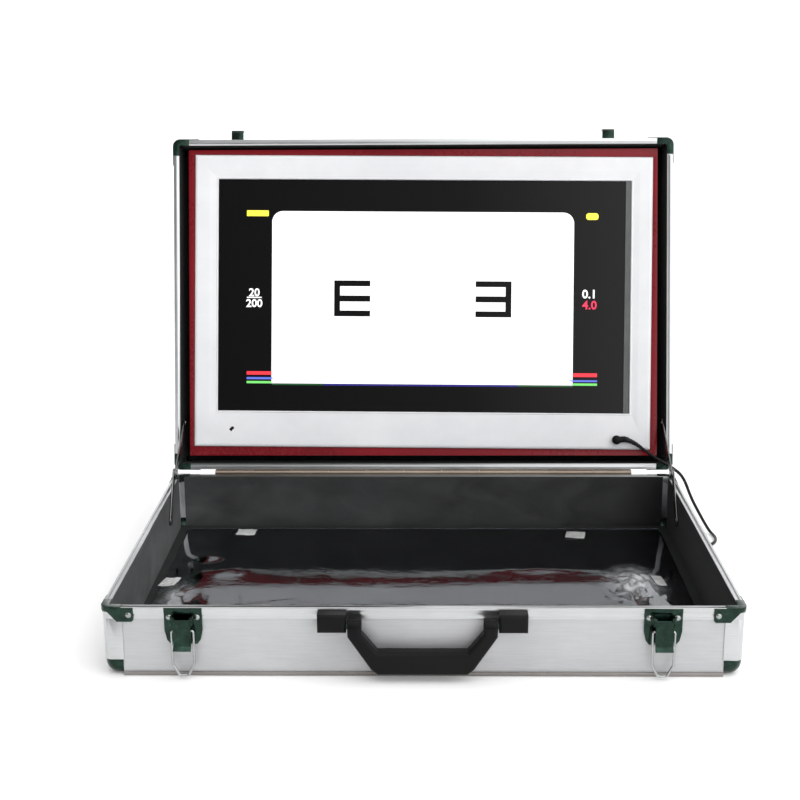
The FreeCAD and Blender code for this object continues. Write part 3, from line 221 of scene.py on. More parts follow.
def joinRings(work, rings, around=True):
    # faces between each ring of points and the next
    for first, second in zip(rings, rings[1:]):
        count = len(first)
        for step in range(count if around else count - 1):
            after = (step + 1) % count
            work.faces.new((first[step], first[after], second[after], second[step]))


def plainMesh(name, work, outwards=True):
    if outwards:
        bmesh.ops.recalc_face_normals(work, faces=work.faces)
    mesh = bpy.data.meshes.new(name)
    work.to_mesh(mesh)
    work.free()
    return mesh


def smoothMesh(mesh, sharpDegrees=None):
    mesh.polygons.foreach_set("use_smooth", [True] * len(mesh.polygons))
    if sharpDegrees is not None:
        mesh.set_sharp_from_angle(angle=math.radians(sharpDegrees))
    return mesh


def circleOutline(x, y, radius, sides):
    turns = [2 * math.pi * step / sides for step in range(sides)]
    return [(x + radius * math.cos(turn), y + radius * math.sin(turn)) for turn in turns]


def monitorRing(work, outline, out):
    return [work.verts.new(onMonitor(x, y, out)) for x, y in outline]


def slabMesh(name, outline, back, front):
    # a closed flat slab on the monitor's face, from an outline of points about its middle
    work = bmesh.new()
    rings = [monitorRing(work, outline, out) for out in (back, front)]
    work.faces.new(list(reversed(rings[0])))
    work.faces.new(rings[1])
    joinRings(work, rings)
    return plainMesh(name, work)


def tubeMesh(name, path, radiusAt, sides=10):
    # a closed tube along the path, carried round without twist
    work = bmesh.new()
    tangent = (path[1] - path[0]).normalized()
    normal = tangent.orthogonal().normalized()
    rings = []
    travelled = 0.0
    for index, point in enumerate(path):
        before = path[max(index - 1, 0)]
        after = path[min(index + 1, len(path) - 1)]
        direction = (after - before).normalized()
        normal = (normal - direction * normal.dot(direction)).normalized()
        side = direction.cross(normal)
        if index:
            travelled += (point - path[index - 1]).length
        radius = radiusAt(travelled)
        ring = []
        for step in range(sides):
            angle = 2.0 * math.pi * step / sides
            ring.append(work.verts.new(point + radius * (math.cos(angle) * normal + math.sin(angle) * side)))
        rings.append(ring)
    joinRings(work, rings)
    work.faces.new(list(reversed(rings[0])))
    work.faces.new(rings[-1])
    mesh = plainMesh(name, work)
    for polygon in mesh.polygons:
        polygon.use_smooth = len(polygon.vertices) == 4
    return mesh


def addPiece(name, mesh, body, material):
    piece = addObject(name, mesh)
    mesh.materials.clear()
    mesh.materials.append(material)
    if body is not None:
        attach(piece, body)
    return piece


def standIn(name, mesh, node, look):
    # a piece that stands for a CAD node, on its body and with the given material; the node is hidden
    piece = addPiece(name, mesh, bodyOf[node], look)
    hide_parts(node)
    return piece


leadPath = splinePath("leadPath", leadRoute() + coilRoute(leadSettings) + tailRoute(leadSettings))

# Materials

def newMaterial(name):
    material = bpy.data.materials.new(name)
    material.use_nodes = True
    tree = material.node_tree
    shader = tree.nodes["Principled BSDF"]
    coords = tree.nodes.new("ShaderNodeTexCoord")
    return material, tree, shader, coords


def addNoise(tree, coords, scale, stretch=(1, 1, 1), detail=3.0, distortion=0.0):
    mapping = tree.nodes.new("ShaderNodeMapping")
    setInputs(mapping, {"Scale": stretch})
    grain = tree.nodes.new("ShaderNodeTexNoise")
    setInputs(grain, {"Scale": scale, "Detail": detail, "Distortion": distortion})
    tree.links.new(coords.outputs["Object"], mapping.inputs["Vector"])
    tree.links.new(mapping.outputs["Vector"], grain.inputs["Vector"])
    return grain.outputs["Fac"]


def addRamp(tree, source, stops):
    ramp = tree.nodes.new("ShaderNodeValToRGB")
    elements = ramp.color_ramp.elements
    while len(elements) < len(stops):
        elements.new(0.5)
    for element, (place, colour) in zip(elements, stops):
        element.position = place
        element.color = (*colour, 1.0)
    tree.links.new(source, ramp.inputs["Fac"])
    return ramp.outputs["Color"]


def addRange(tree, source, low, high, fromLow=0.3, fromHigh=0.7):
    node = tree.nodes.new("ShaderNodeMapRange")
    setInputs(node, {"From Min": fromLow, "From Max": fromHigh, "To Min": low, "To Max": high})
    tree.links.new(source, node.inputs["Value"])
    return node.outputs["Result"]


def addBump(tree, shaders, source, strength, distance):
    bump = tree.nodes.new("ShaderNodeBump")
    setInputs(bump, {"Strength": strength, "Distance": distance})
    tree.links.new(source, bump.inputs["Height"])
    for shader in shaders:
        tree.links.new(bump.outputs["Normal"], shader.inputs["Normal"])


def addAcross(tree, coords, reach):
    # 0 to 1 from left to right, within reach of the middle
    split = tree.nodes.new("ShaderNodeSeparateXYZ")
    tree.links.new(coords.outputs["Object"], split.inputs["Vector"])
    return addRange(tree, split.outputs["X"], 0.0, 1.0, -reach, reach)


surfaceSettings = {
    # darkest and lightest colour, metal, roughness from and to, how fine the grain is and its bump
    "silverPanel": ((0.40, 0.405, 0.415), (0.58, 0.585, 0.59), 0.45, (0.38, 0.50), 900.0, 0.04,
                    {"stretch": (0.05, 0.05, 1.0)}),
    "aluminiumProfile": ((0.46, 0.47, 0.475), (0.64, 0.65, 0.655), 1.0, (0.26, 0.38), 1400.0, 0.05,
                         {"stretch": (0.04, 1.0, 1.0)}),
    "platedSteel": ((0.002, 0.008, 0.0055), (0.018, 0.050, 0.034), 0.9, (0.12, 0.34), 330.0, 0.5,
                    {"coat": 0.2, "cloud": 110.0}),
    "rivetSteel": ((0.24, 0.25, 0.245), (0.46, 0.48, 0.47), 1.0, (0.12, 0.26), 500.0, 0.05),
    "bailSteel": ((0.30, 0.31, 0.31), (0.52, 0.53, 0.53), 1.0, (0.10, 0.20), 700.0, 0.04),
    "hingeBrass": ((0.16, 0.125, 0.10), (0.30, 0.25, 0.20), 1.0, (0.28, 0.42), 600.0, 0.06,
                   {"stretch": (0.2, 1.0, 1.0)}),
    # painted shade: a darker, browner copy of the aluminium profile for the base's bottom edges
    "paintedShadeEdge": ((0.20, 0.185, 0.175), (0.36, 0.34, 0.325), 1.0, (0.22, 0.36), 1200.0, 0.05,
                    {"stretch": (0.04, 1.0, 1.0)}),
    "staySteel": ((0.12, 0.125, 0.125), (0.26, 0.265, 0.265), 1.0, (0.18, 0.32), 700.0, 0.06,
                  {"stretch": (1.0, 0.2, 0.2)}),
    "blackPlastic": ((0.004, 0.004, 0.0045), (0.009, 0.009, 0.0095), 0.0, (0.36, 0.50), 1500.0, 0.22,
                     {"gloss": 0.10}),
    "coverBlack": ((0.012, 0.012, 0.013), (0.022, 0.022, 0.024), 0.0, (0.45, 0.6), 1800.0, 0.2),
    "leadSheath": ((0.004, 0.004, 0.0045), (0.010, 0.010, 0.011), 0.0, (0.30, 0.44), 900.0, 0.05,
                   {"gloss": 0.2}),
    "bezelWhite": ((0.70, 0.705, 0.725), (0.80, 0.805, 0.82), 0.0, (0.16, 0.24), 60.0, 0.01),
    "stripGrey": ((0.05, 0.055, 0.055), (0.12, 0.125, 0.125), 0.2, (0.35, 0.5), 300.0, 0.05,
                  {"stretch": (1.0, 1.0, 0.05)}),
    "darkGloss": ((0.008, 0.008, 0.01), (0.012, 0.012, 0.014), 0.0, (0.08, 0.12), 100.0, 0.0),
    "battenWood": ((0.26, 0.18, 0.10), (0.42, 0.31, 0.20), 0.0, (0.55, 0.7), 160.0, 0.2,
                   {"stretch": (0.1, 1.0, 1.0)}),
    "boardGreen": ((0.01, 0.09, 0.04), (0.02, 0.14, 0.06), 0.0, (0.35, 0.5), 300.0, 0.05),
    "redTrim": ((0.13, 0.0015, 0.005), (0.23, 0.003, 0.010), 0.0, (0.20, 0.36), 240.0, 0.25,
                {"gloss": 0.2, "coat": 0.15}),
    "clearTape": ((0.26, 0.27, 0.26), (0.62, 0.63, 0.62), 0.0, (0.10, 0.30), 240.0, 0.25),
}


def surfaceMaterial(name):
    low, high, metal, rough, fine, bump, *more = surfaceSettings[name]
    extra = more[0] if more else {}
    material, tree, shader, coords = newMaterial(name)
    grain = addNoise(tree, coords, fine, extra.get("stretch", (1, 1, 1)), 4.0)
    cloud = addNoise(tree, coords, extra.get("cloud", 9.0), (1, 1, 1), 4.0)
    blend = tree.nodes.new("ShaderNodeMath")
    blend.operation = "MULTIPLY_ADD"
    blend.inputs[1].default_value = 0.45
    tree.links.new(grain, blend.inputs[0])
    half = addRange(tree, cloud, 0.0, 0.55, 0.25, 0.75)
    tree.links.new(half, blend.inputs[2])
    colour = addRamp(tree, blend.outputs["Value"], [(0.15, low), (0.8, high)])
    tree.links.new(colour, shader.inputs["Base Color"])
    roughness = addRange(tree, blend.outputs["Value"], *rough, 0.15, 0.8)
    tree.links.new(roughness, shader.inputs["Roughness"])
    setInputs(shader, {"Metallic": metal, "Specular IOR Level": extra.get("gloss", 0.5),
                       "Coat Weight": extra.get("coat", 0.0), "Coat Roughness": 0.08})
    if bump > 0:
        addBump(tree, [shader], grain, bump, 0.0004)
    return material


def liningMaterial(name, low, high, rough, weave, fade=None):
    # a napped lining with cloudy wear; fade darkens it with painted shade from the left wall towards the
    # right wall, where less light falls
    material, tree, shader, coords = newMaterial(name)
    fibre = addNoise(tree, coords, weave, (1, 1, 1), 6.0, 0.4)
    cloud = addNoise(tree, coords, 14.0, (1, 1, 1.8), 5.0, 0.8)
    colour = addRamp(tree, cloud, [(0.3, low), (0.7, high)])
    # painted shade: a ramp across the lining, full on the left and near black on the right
    if fade is not None:
        across = addAcross(tree, coords, 0.285)
        shadeRamp = addRamp(tree, across, [(place, (level, level, level)) for place, level in fade])
        mix = tree.nodes.new("ShaderNodeMix")
        mix.data_type = "RGBA"
        mix.blend_type = "MULTIPLY"
        mix.inputs["Factor"].default_value = 1.0
        tree.links.new(colour, mix.inputs["A"])
        tree.links.new(shadeRamp, mix.inputs["B"])
        colour = mix.outputs["Result"]
    tree.links.new(colour, shader.inputs["Base Color"])
    setInputs(shader, {"Roughness": rough, "Specular IOR Level": 0.25, "Sheen Weight": 0.03,
                       "Sheen Roughness": 0.5})
    addBump(tree, [shader], fibre, 0.35, 0.0006)
    return material


def glowMaterial(name, colour, strength):
    material, tree, shader, coords = newMaterial(name)
    setInputs(shader, {"Base Color": (*[value * 0.5 for value in colour], 1.0), "Roughness": 0.25,
                       "Emission Strength": strength})
    haze = addNoise(tree, coords, 5.0, (1, 1, 1), 1.0)
    dim = [value * 0.97 for value in colour]
    tree.links.new(addRamp(tree, haze, [(0.3, dim), (0.7, colour)]), shader.inputs["Emission Color"])
    return material


def screenMaterial():
    # unlit black, with a painted reflection: an emitted glow, standing for the room's light on the glass,
    # grows towards the right
    material, tree, shader, coords = newMaterial("screenBlack")
    # painted reflection: the emission ramp across the screen
    haze = addRamp(tree, addAcross(tree, coords, 0.24),
                   [(0.0, (0.0002, 0.0002, 0.0002)), (0.6, (0.004, 0.004, 0.004)),
                    (1.0, (0.021, 0.0205, 0.0205))])
    tree.links.new(haze, shader.inputs["Emission Color"])
    setInputs(shader, {"Emission Strength": 1.0, "Base Color": (0.004, 0.004, 0.0045, 1.0),
                       "Specular IOR Level": 0.06})
    fine = addNoise(tree, coords, 2500.0, (1, 1, 1), 2.0)
    tree.links.new(addRange(tree, fine, 0.26, 0.34), shader.inputs["Roughness"])
    return material


def mixShaders(tree, share, first, second):
    mix = tree.nodes.new("ShaderNodeMixShader")
    tree.links.new(share.outputs["Fac"], mix.inputs["Fac"])
    tree.links.new(first.outputs[0], mix.inputs[1])
    tree.links.new(second.outputs[0], mix.inputs[2])
    return mix


def filmMaterial():
    # clear sheet with strong reflections, milky where the film is crumpled
    material, tree, shader, coords = newMaterial("clearFilm")
    tree.nodes.remove(shader)
    gloss = tree.nodes.new("ShaderNodeBsdfGlossy")
    setInputs(gloss, {"Roughness": 0.05, "Color": (0.95, 0.97, 1.0, 1.0)})
    clear = tree.nodes.new("ShaderNodeBsdfTransparent")
    setInputs(clear, {"Color": (0.86, 0.87, 0.88, 1.0)})
    fresnel = tree.nodes.new("ShaderNodeFresnel")
    setInputs(fresnel, {"IOR": 2.3})
    haze = tree.nodes.new("ShaderNodeAttribute")
    haze.attribute_name = "haze"
    milky = tree.nodes.new("ShaderNodeBsdfDiffuse")
    setInputs(milky, {"Color": (0.75, 0.76, 0.76, 1.0)})
    whole = mixShaders(tree, haze, mixShaders(tree, fresnel, clear, gloss), milky)
    tree.links.new(whole.outputs["Shader"], tree.nodes["Material Output"].inputs["Surface"])
    wave = addNoise(tree, coords, 60.0, (1.0, 1.6, 1.0), 3.0, 0.6)
    addBump(tree, [gloss, fresnel], wave, 0.06, 0.002)
    return material


liningSettings = {
    # the ramp across greyLining is painted shade: light on the left wall, darker at the back, near black on
    # the right wall
    "greyLining": {"low": (0.036, 0.038, 0.038), "high": (0.078, 0.080, 0.080), "rough": 0.7, "weave": 700.0,
                   "fade": [(0.0, 1.0), (0.03, 1.0), (0.10, 0.62), (0.88, 0.46), (0.97, 0.16), (1.0, 0.12)]},
    "floorLining": {"low": (0.0060, 0.0085, 0.0080), "high": (0.012, 0.015, 0.0145), "rough": 0.8,
                    "weave": 700.0},
    "blackLining": {"low": (0.0030, 0.0045, 0.0040), "high": (0.0065, 0.0085, 0.0075), "rough": 0.8,
                    "weave": 700.0},
}

looks = {name: surfaceMaterial(name) for name in surfaceSettings}
looks.update({name: liningMaterial(name, **settings) for name, settings in liningSettings.items()})
looks["chartWhite"] = glowMaterial("chartWhite", (0.98, 0.98, 0.98), 0.86)
looks["screenBlack"] = screenMaterial()
looks["clearFilm"] = filmMaterial()

nodeLooks = {
    "silverPanel": ["base_back_panel", "base_bottom_panel", "base_front_panel", "base_left_panel",
                    "base_right_panel", "lid_skin_panel", "lid_wall_panels"],
    "aluminiumProfile": ["base_corner_posts", "base_rims", "lid_corner_posts", "lid_edges", "lid_rims"],
    "paintedShadeEdge": ["base_bottom_edges"],
    "platedSteel": ["base_corner_caps", "base_rim_brackets", "latch_plates", "pivot_pins", "lid_catches",
                    "lid_corner_caps", "lid_rim_brackets", "latch_lever_left", "latch_lever_right"],
    "rivetSteel": ["base_rivets", "lid_rivets", "stay_base_rivets", "stay_lid_rivets"],
    "bailSteel": ["latch_bail_left", "latch_bail_right"],
    "hingeBrass": ["hinge_base_leaves", "hinge_pins", "hinge_lid_leaves"],
    "staySteel": ["stay_lower_left", "stay_lower_right", "stay_upper_left", "stay_upper_right",
                  "stay_elbow_left", "stay_elbow_right"],
    "greyLining": ["base_wall_lining"],
    "floorLining": ["base_floor_lining"],
    "blackLining": ["lid_back_lining", "lid_wall_lining"],
    "clearFilm": ["floor_film"],
    "clearTape": ["film_tapes"],
    "blackPlastic": ["handle_mounts", "handle_grip", "power_adapter", "dc_plug"],
    "leadSheath": ["lead_upper", "lead_lower", "lead_coil"],
    "battenWood": ["lid_battens"],
    "bezelWhite": ["monitor_bezel"],
    "screenBlack": ["lcd_panel", "chart_letters"],
    "chartWhite": ["chart_field"],
    "coverBlack": ["monitor_rear_cover"],
    "boardGreen": ["monitor_board"],
    "darkGloss": ["sensor_window", "dc_jack"],
    "redTrim": ["red_trim"],
}

for look, names in nodeLooks.items():
    for name in names:
        for slot in nodes[name].material_slots:
            slot.material = looks[look]
print("stage: materials")

# Lead

leadMesh = tubeMesh("lead", leadPath, lambda travelled: leadSettings["diameter"] / 2.0, 10)
lead = addPiece("lead", leadMesh, None, looks["leadSheath"])
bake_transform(lead)
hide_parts("lead_upper", "lead_lower", "lead_coil")

# Strain reliefs, the coil's tie and the plug

reliefSettings = {
    "length": 0.024,
    "startRadius": 0.0033,
    "endRadius": 0.0020,
    "ribs": 7,
    "ribDepth": 0.0004,
    "step": 0.0004,
}

tieSettings = {
    "angle": 125.0,
    "width": 0.005,
    "thick": 0.0009,
    "round": 0.0015,
    "spare": 0.0006,
    "low": 0.0004,
    "over": 0.0008,
}


def evenPath(path, length, step):
    # the first stretch of a path, in even steps
    points = [path[0].copy()]
    left = step
    travelled = 0.0
    for a, b in zip(path, path[1:]):
        run = (b - a).length
        while left <= run and travelled < length:
            points.append(a.lerp(b, left / run))
            travelled += step
            left += step
        left -= run
        if travelled >= length:
            break
    return points


def makeRelief(name, path, body, settings):
    length = settings["length"]

    def radiusAt(travelled):
        share = min(travelled / length, 1.0)
        radius = settings["startRadius"] + (settings["endRadius"] - settings["startRadius"]) * share
        wave = 0.5 + 0.5 * math.cos(2.0 * math.pi * settings["ribs"] * share)
        return radius - settings["ribDepth"] * (1.0 - wave) * (0.15 < share < 0.95)

    mesh = tubeMesh(name, evenPath(path, length, settings["step"]), radiusAt, 20)
    return addPiece(name, mesh, body, looks["leadSheath"])


def tieOutline(settings, halfWide, top, thick):
    # a rounded loop round the turns, thick metres outside them and never under the floor
    grow = settings["round"] + thick
    inX = halfWide - settings["round"]
    highZ = top - settings["round"]
    lowZ = settings["low"] + settings["round"]
    floor = 0.0004 if thick == 0 else 0.0001
    outline = []
    for sideX, z, start in ((inX, highZ, 0), (-inX, highZ, 90), (-inX, lowZ, 180), (inX, lowZ, 270)):
        for step in range(5):
            turn = math.radians(start + step * 22.5)
            outline.append((sideX + grow * math.cos(turn), max(z + grow * math.sin(turn), floor)))
    return outline


def makeTie(settings, coil):
    centreX, centreY = coil["coilCentre"]
    angle = math.radians(settings["angle"])
    outwards = Vector((math.cos(angle), math.sin(angle), 0.0))
    along = Vector((-math.sin(angle), math.cos(angle), 0.0))
    middle = Vector((centreX, centreY, 0.0)) + outwards * coil["turnRadius"]
    halfWide = coil["diameter"] * coil["columns"] / 2.0 + settings["spare"]
    top = coil["diameter"] * coil["layers"] + settings["over"]
    inner = tieOutline(settings, halfWide, top, 0.0)
    outer = tieOutline(settings, halfWide, top, settings["thick"])
    work = bmesh.new()
    loops = []
    for outline, offset in ((inner, -0.5), (outer, -0.44), (outer, 0.44), (inner, 0.5)):
        shift = middle + along * offset * settings["width"]
        loops.append([work.verts.new(shift + outwards * x + Vector((0, 0, z))) for x, z in outline])
    joinRings(work, loops + [loops[0]])
    return addPiece("coilTie", plainMesh("coilTie", work), "base", looks["leadSheath"])


plugSettings = {
    "jack": (0.225, -0.1573),
    # radius and height over the bezel
    "section": [(0.0046, 0.0), (0.0052, 0.0008), (0.0052, 0.0042), (0.0048, 0.0060), (0.0036, 0.0072),
                (0.0020, 0.0078)],
    "height": 0.0080,
    "sides": 32,
    "armRadius": 0.0036,
    "armHeight": 0.0040,
    "armSteps": 12,
}


def makePlug(settings):
    # a right-angled plug: a round head on the socket and an arm to the lead
    x, y = settings["jack"]
    out = lidSettings["bezelFront"] + 0.0002
    work = bmesh.new()
    rings = [monitorRing(work, circleOutline(x, y, radius, settings["sides"]), out + height)
             for radius, height in settings["section"]]
    work.faces.new(list(reversed(rings[0])))
    joinRings(work, rings)
    tip = work.verts.new(onMonitor(x, y, out + settings["height"]))
    for first, second in zip(rings[-1], rings[-1][1:] + rings[-1][:1]):
        work.faces.new((first, second, tip))
    start = onMonitor(x, y, out + settings["armHeight"])
    end = leadPath[0] + (leadPath[1] - leadPath[0]).normalized() * 0.0004
    steps = settings["armSteps"]
    arm = [start.lerp(end, step / steps) for step in range(steps + 1)]
    work.from_mesh(tubeMesh("plugArm", arm, lambda travelled: settings["armRadius"], 20))
    mesh = smoothMesh(plainMesh("leadPlug", work), 50)
    return standIn("leadPlug", mesh, "dc_plug", looks["blackPlastic"])


leadPlug = makePlug(plugSettings)
plugRelief = makeRelief("plugRelief", leadPath, "lid", reliefSettings)
adapterRelief = makeRelief("adapterRelief", list(reversed(leadPath)), "base", reliefSettings)
coilTie = makeTie(tieSettings, leadSettings)

# Edges: copies of the hard pieces with their edges eased, so that each one catches the light. Each row holds
# the width in metres, the count of steps and the nodes

easeSettings = [
    (0.0003, 2, ["stay_lower_left", "stay_lower_right", "stay_upper_left", "stay_upper_right"]),
    (0.0004, 2, ["base_rim_brackets", "base_corner_posts", "base_bottom_edges", "latch_plates",
                 "lid_rim_brackets", "lid_corner_posts", "lid_edges", "lid_catches", "latch_lever_left",
                 "latch_lever_right"]),
    (0.00045, 2, ["base_rims", "lid_rims"]),
    (0.0005, 2, ["base_corner_caps", "lid_corner_caps"]),
    (0.0011, 3, ["red_trim"]),
    (0.0012, 3, ["handle_mounts"]),
    (0.0014, 3, ["handle_grip"]),
]


def camelName(name):
    words = name.split("_")
    return words[0] + "".join(word.capitalize() for word in words[1:])


def mergedNode(name):
    # a merged copy of a CAD node
    work = bmesh.new()
    work.from_mesh(nodes[name].data)
    bmesh.ops.remove_doubles(work, verts=work.verts, dist=0.000002)
    return work


def easeNode(name, width, segments):
    work = mergedNode(name)
    bmesh.ops.dissolve_limit(work, angle_limit=math.radians(0.6), verts=work.verts, edges=work.edges)
    mesh = smoothMesh(plainMesh(name, work, False))

    def addBevel(holder):
        bevel = holder.modifiers.new("ease", "BEVEL")
        bevel.width = width
        bevel.segments = segments
        bevel.limit_method = "ANGLE"
        bevel.angle_limit = math.radians(34)
        bevel.use_clamp_overlap = True
        bevel.miter_outer = "MITER_ARC"
        bevel.harden_normals = True

    eased = settle(camelName(name) + "Eased", mesh, addBevel)
    standIn(eased.name, eased, name, nodes[name].material_slots[0].material)


for width, segments, names in easeSettings:
    for name in names:
        easeNode(name, width, segments)
print("stage: eased pieces")

print("stage: lead piece")

# Rivets: one dome for each rivet of the CAD, set by a node tree on points that carry their outward way

rivetSettings = {
    "nodes": ["base_rivets", "lid_rivets", "stay_base_rivets", "stay_lid_rivets"],
    "segments": 22,
    "rings": 10,
    "rim": 1.06,  # the rolled rim's radius against the dome's
    "rimDepth": 0.34,  # and its depth against the dome's rise
    "headShare": 0.94,  # the dome's radius against the CAD head's
    "sharp": 40,
}


def rivetPlaces(name):
    # each loose shell of the node is one rivet: its middle, outward way, head radius and head rise
    work = mergedNode(name)
    seen = set()
    places = []
    opened = lidSettings["openDegrees"] if bodyOf[name] == "lid" else 0.0
    swing = Matrix.Rotation(math.radians(opened), 3, "X")
    for start in work.verts:
        if start.index in seen:
            continue
        shell = []
        stack = [start]
        seen.add(start.index)
        while stack:
            vertex = stack.pop()
            shell.append(swing @ vertex.co)
            for edge in vertex.link_edges:
                other = edge.other_vert(vertex)
                if other.index not in seen:
                    seen.add(other.index)
                    stack.append(other)
        low = Vector([min(point[axis] for point in shell) for axis in range(3)])
        high = Vector([max(point[axis] for point in shell) for axis in range(3)])
        size = high - low
        middle = (low + high) / 2.0
        axis = min(range(3), key=lambda way: abs(size[way - 1] - size[way - 2]))
        radius = max(size[axis - 1], size[axis - 2]) / 2.0

        def fromAxis(point):
            return math.hypot(point[axis - 1] - middle[axis - 1], point[axis - 2] - middle[axis - 2])

        widest = [point for point in shell if fromAxis(point) > radius * 0.97]
        seat = sum(point[axis] for point in widest) / len(widest)
        side = 1.0 if seat > middle[axis] else -1.0
        rise = (high[axis] - seat) if side > 0 else (seat - low[axis])
        outward = Vector((0, 0, 0))
        outward[axis] = side
        place = middle.copy()
        place[axis] = seat
        places.append((swing.inverted() @ place, swing.inverted() @ outward, radius, rise))
    work.free()
    return places


def headTree(settings):
    # a dome on a rolled rim, set on every point
    tree = bpy.data.node_groups.new("rivetHeads", "GeometryNodeTree")
    sockets = {}
    for name, way, kind in (("Points", "INPUT", "Geometry"), ("Finish", "INPUT", "Material"),
                            ("Segments", "INPUT", "Int"), ("Rings", "INPUT", "Int"),
                            ("Rim", "INPUT", "Float"), ("Heads", "OUTPUT", "Geometry")):
        socket = tree.interface.new_socket(name, in_out=way, socket_type="NodeSocket" + kind)
        sockets[name] = socket.identifier
    kinds = {"source": "NodeGroupInput", "target": "NodeGroupOutput", "dome": "GeometryNodeMeshUVSphere",
             "flange": "GeometryNodeMeshCylinder", "join": "GeometryNodeJoinGeometry",
             "outward": "GeometryNodeInputNamedAttribute", "headSize": "GeometryNodeInputNamedAttribute",
             "turn": "FunctionNodeAlignRotationToVector", "place": "GeometryNodeInstanceOnPoints",
             "real": "GeometryNodeRealizeInstances", "cover": "GeometryNodeSetMaterial"}
    made = {name: tree.nodes.new(kind) for name, kind in kinds.items()}
    for start, output, end, entry in (
            ("source", "Segments", "dome", "Segments"), ("source", "Rings", "dome", "Rings"),
            ("source", "Segments", "flange", "Vertices"), ("source", "Rim", "flange", "Radius"),
            ("dome", "Mesh", "join", "Geometry"), ("flange", "Mesh", "join", "Geometry"),
            ("source", "Points", "place", "Points"), ("join", "Geometry", "place", "Instance"),
            ("turn", "Rotation", "place", "Rotation"), ("place", "Instances", "real", "Geometry"),
            ("real", "Geometry", "cover", "Geometry"), ("source", "Finish", "cover", "Material"),
            ("cover", "Geometry", "target", "Heads")):
        tree.links.new(made[start].outputs[output], made[end].inputs[entry])
    for name in ("outward", "headSize"):
        made[name].data_type = "FLOAT_VECTOR"
        setInputs(made[name], {"Name": name})
    tree.links.new(made["outward"].outputs["Attribute"], made["turn"].inputs["Vector"])
    tree.links.new(made["headSize"].outputs["Attribute"], made["place"].inputs["Scale"])
    made["turn"].axis = "Z"
    setInputs(made["dome"], {"Radius": 1.0})
    setInputs(made["flange"], {"Depth": settings["rimDepth"]})
    values = {sockets["Segments"]: settings["segments"], sockets["Rings"]: settings["rings"],
              sockets["Rim"]: settings["rim"], sockets["Finish"]: looks["rivetSteel"]}
    return tree, values


def makeRivets(settings):
    tree, values = headTree(settings)
    for name in settings["nodes"]:
        places = rivetPlaces(name)
        points = bpy.data.meshes.new(name)
        points.from_pydata([tuple(place[0]) for place in places], [], [])
        share = settings["headShare"]
        sizes = [(radius * share, radius * share, rise) for place, way, radius, rise in places]
        for title, rows in (("outward", [place[1] for place in places]), ("headSize", sizes)):
            attribute = points.attributes.new(title, "FLOAT_VECTOR", "POINT")
            attribute.data.foreach_set("vector", [value for row in rows for value in row])

        def addHeads(holder):
            heads = holder.modifiers.new("heads", "NODES")
            heads.node_group = tree
            for identifier, value in values.items():
                heads[identifier] = value

        mesh = smoothMesh(settle(camelName(name) + "Domes", points, addHeads), settings["sharp"])
        standIn(mesh.name, mesh, name, looks["rivetSteel"])
        print("stage:", name, len(places), "rivets")


makeRivets(rivetSettings)

# Bezel: one moulding swept round the window, with a crowned face, mitre creases and a small lip

bezelSettings = {
    "outer": (-0.26425, 0.26425, -0.16875, 0.16875),
    "window": (-0.2371, 0.2395, -0.12705, 0.14105),
    "back": -0.0135,
    "sheet": 0.0025,
    # share of the way from the outer edge to the window, step in metres beyond it, out from the rim plane
    "section": [
        (0.0, 0.0, -0.0080),
        (0.0, 0.0001, -0.0068),
        (0.0, 0.0008, -0.0055),
        (0.0, 0.0020, -0.0048),
        (0.0, 0.0034, -0.0045),
        (0.25, 0.0, -0.0045),
        (0.62, 0.0, -0.0049),
        (1.0, -0.0030, -0.0056),
        (1.0, -0.0021, -0.0057),
        (1.0, -0.0015, -0.0052),
        (1.0, -0.0008, -0.0052),
        (1.0, -0.0002, -0.0058),
        (1.0, 0.0, -0.0079),
    ],
    "sensor": (-0.2213, -0.1488, 0.0019),
    "jack": (0.225, -0.1573, 0.0034),
}


def sweepFrame(name, rings):
    # rectangles of (x0, x1, y0, y1, out), joined one to the next and closed into a ring of one section
    work = bmesh.new()
    loops = [monitorRing(work, ((x0, y0), (x1, y0), (x1, y1), (x0, y1)), out)
             for x0, x1, y0, y1, out in rings]
    joinRings(work, loops + [loops[0]])
    return plainMesh(name, work)


def makeBezel(settings):
    outer = settings["outer"]
    window = settings["window"]
    rings = []
    for share, step, out in settings["section"]:
        rectangle = []
        for side in range(4):
            inwards = 1.0 if side % 2 == 0 else -1.0
            rectangle.append(outer[side] + (window[side] - outer[side]) * share + inwards * step)
        rings.append((*rectangle, out))
    sheet = settings["sheet"]
    inner = (outer[0] + sheet, outer[1] - sheet, outer[2] + sheet, outer[3] - sheet)
    rings += [(*inner, -0.0080), (*inner, settings["back"]), (*outer, settings["back"])]
    mesh = sweepFrame("bezel", rings)
    cutters = []
    for x, y, radius in (settings["sensor"], settings["jack"]):
        peg = slabMesh("cutter", circleOutline(x, y, radius, 28), -0.02, 0.01)
        cutters.append(addObject("cutter", peg))

    def cutHoles(holder):
        for cutter in cutters:
            hole = holder.modifiers.new("hole", "BOOLEAN")
            hole.operation = "DIFFERENCE"
            hole.solver = "EXACT"
            hole.object = cutter

    mesh = settle("bezelMoulding", mesh, cutHoles)
    for cutter in cutters:
        bpy.data.objects.remove(cutter)
    standIn("bezelMoulding", smoothMesh(mesh, 2.6), "monitor_bezel", looks["bezelWhite"])


makeBezel(bezelSettings)
print("stage: bezel")

# Film: a thin clear sheet on the tray's floor, taut between its tapes and rippled elsewhere

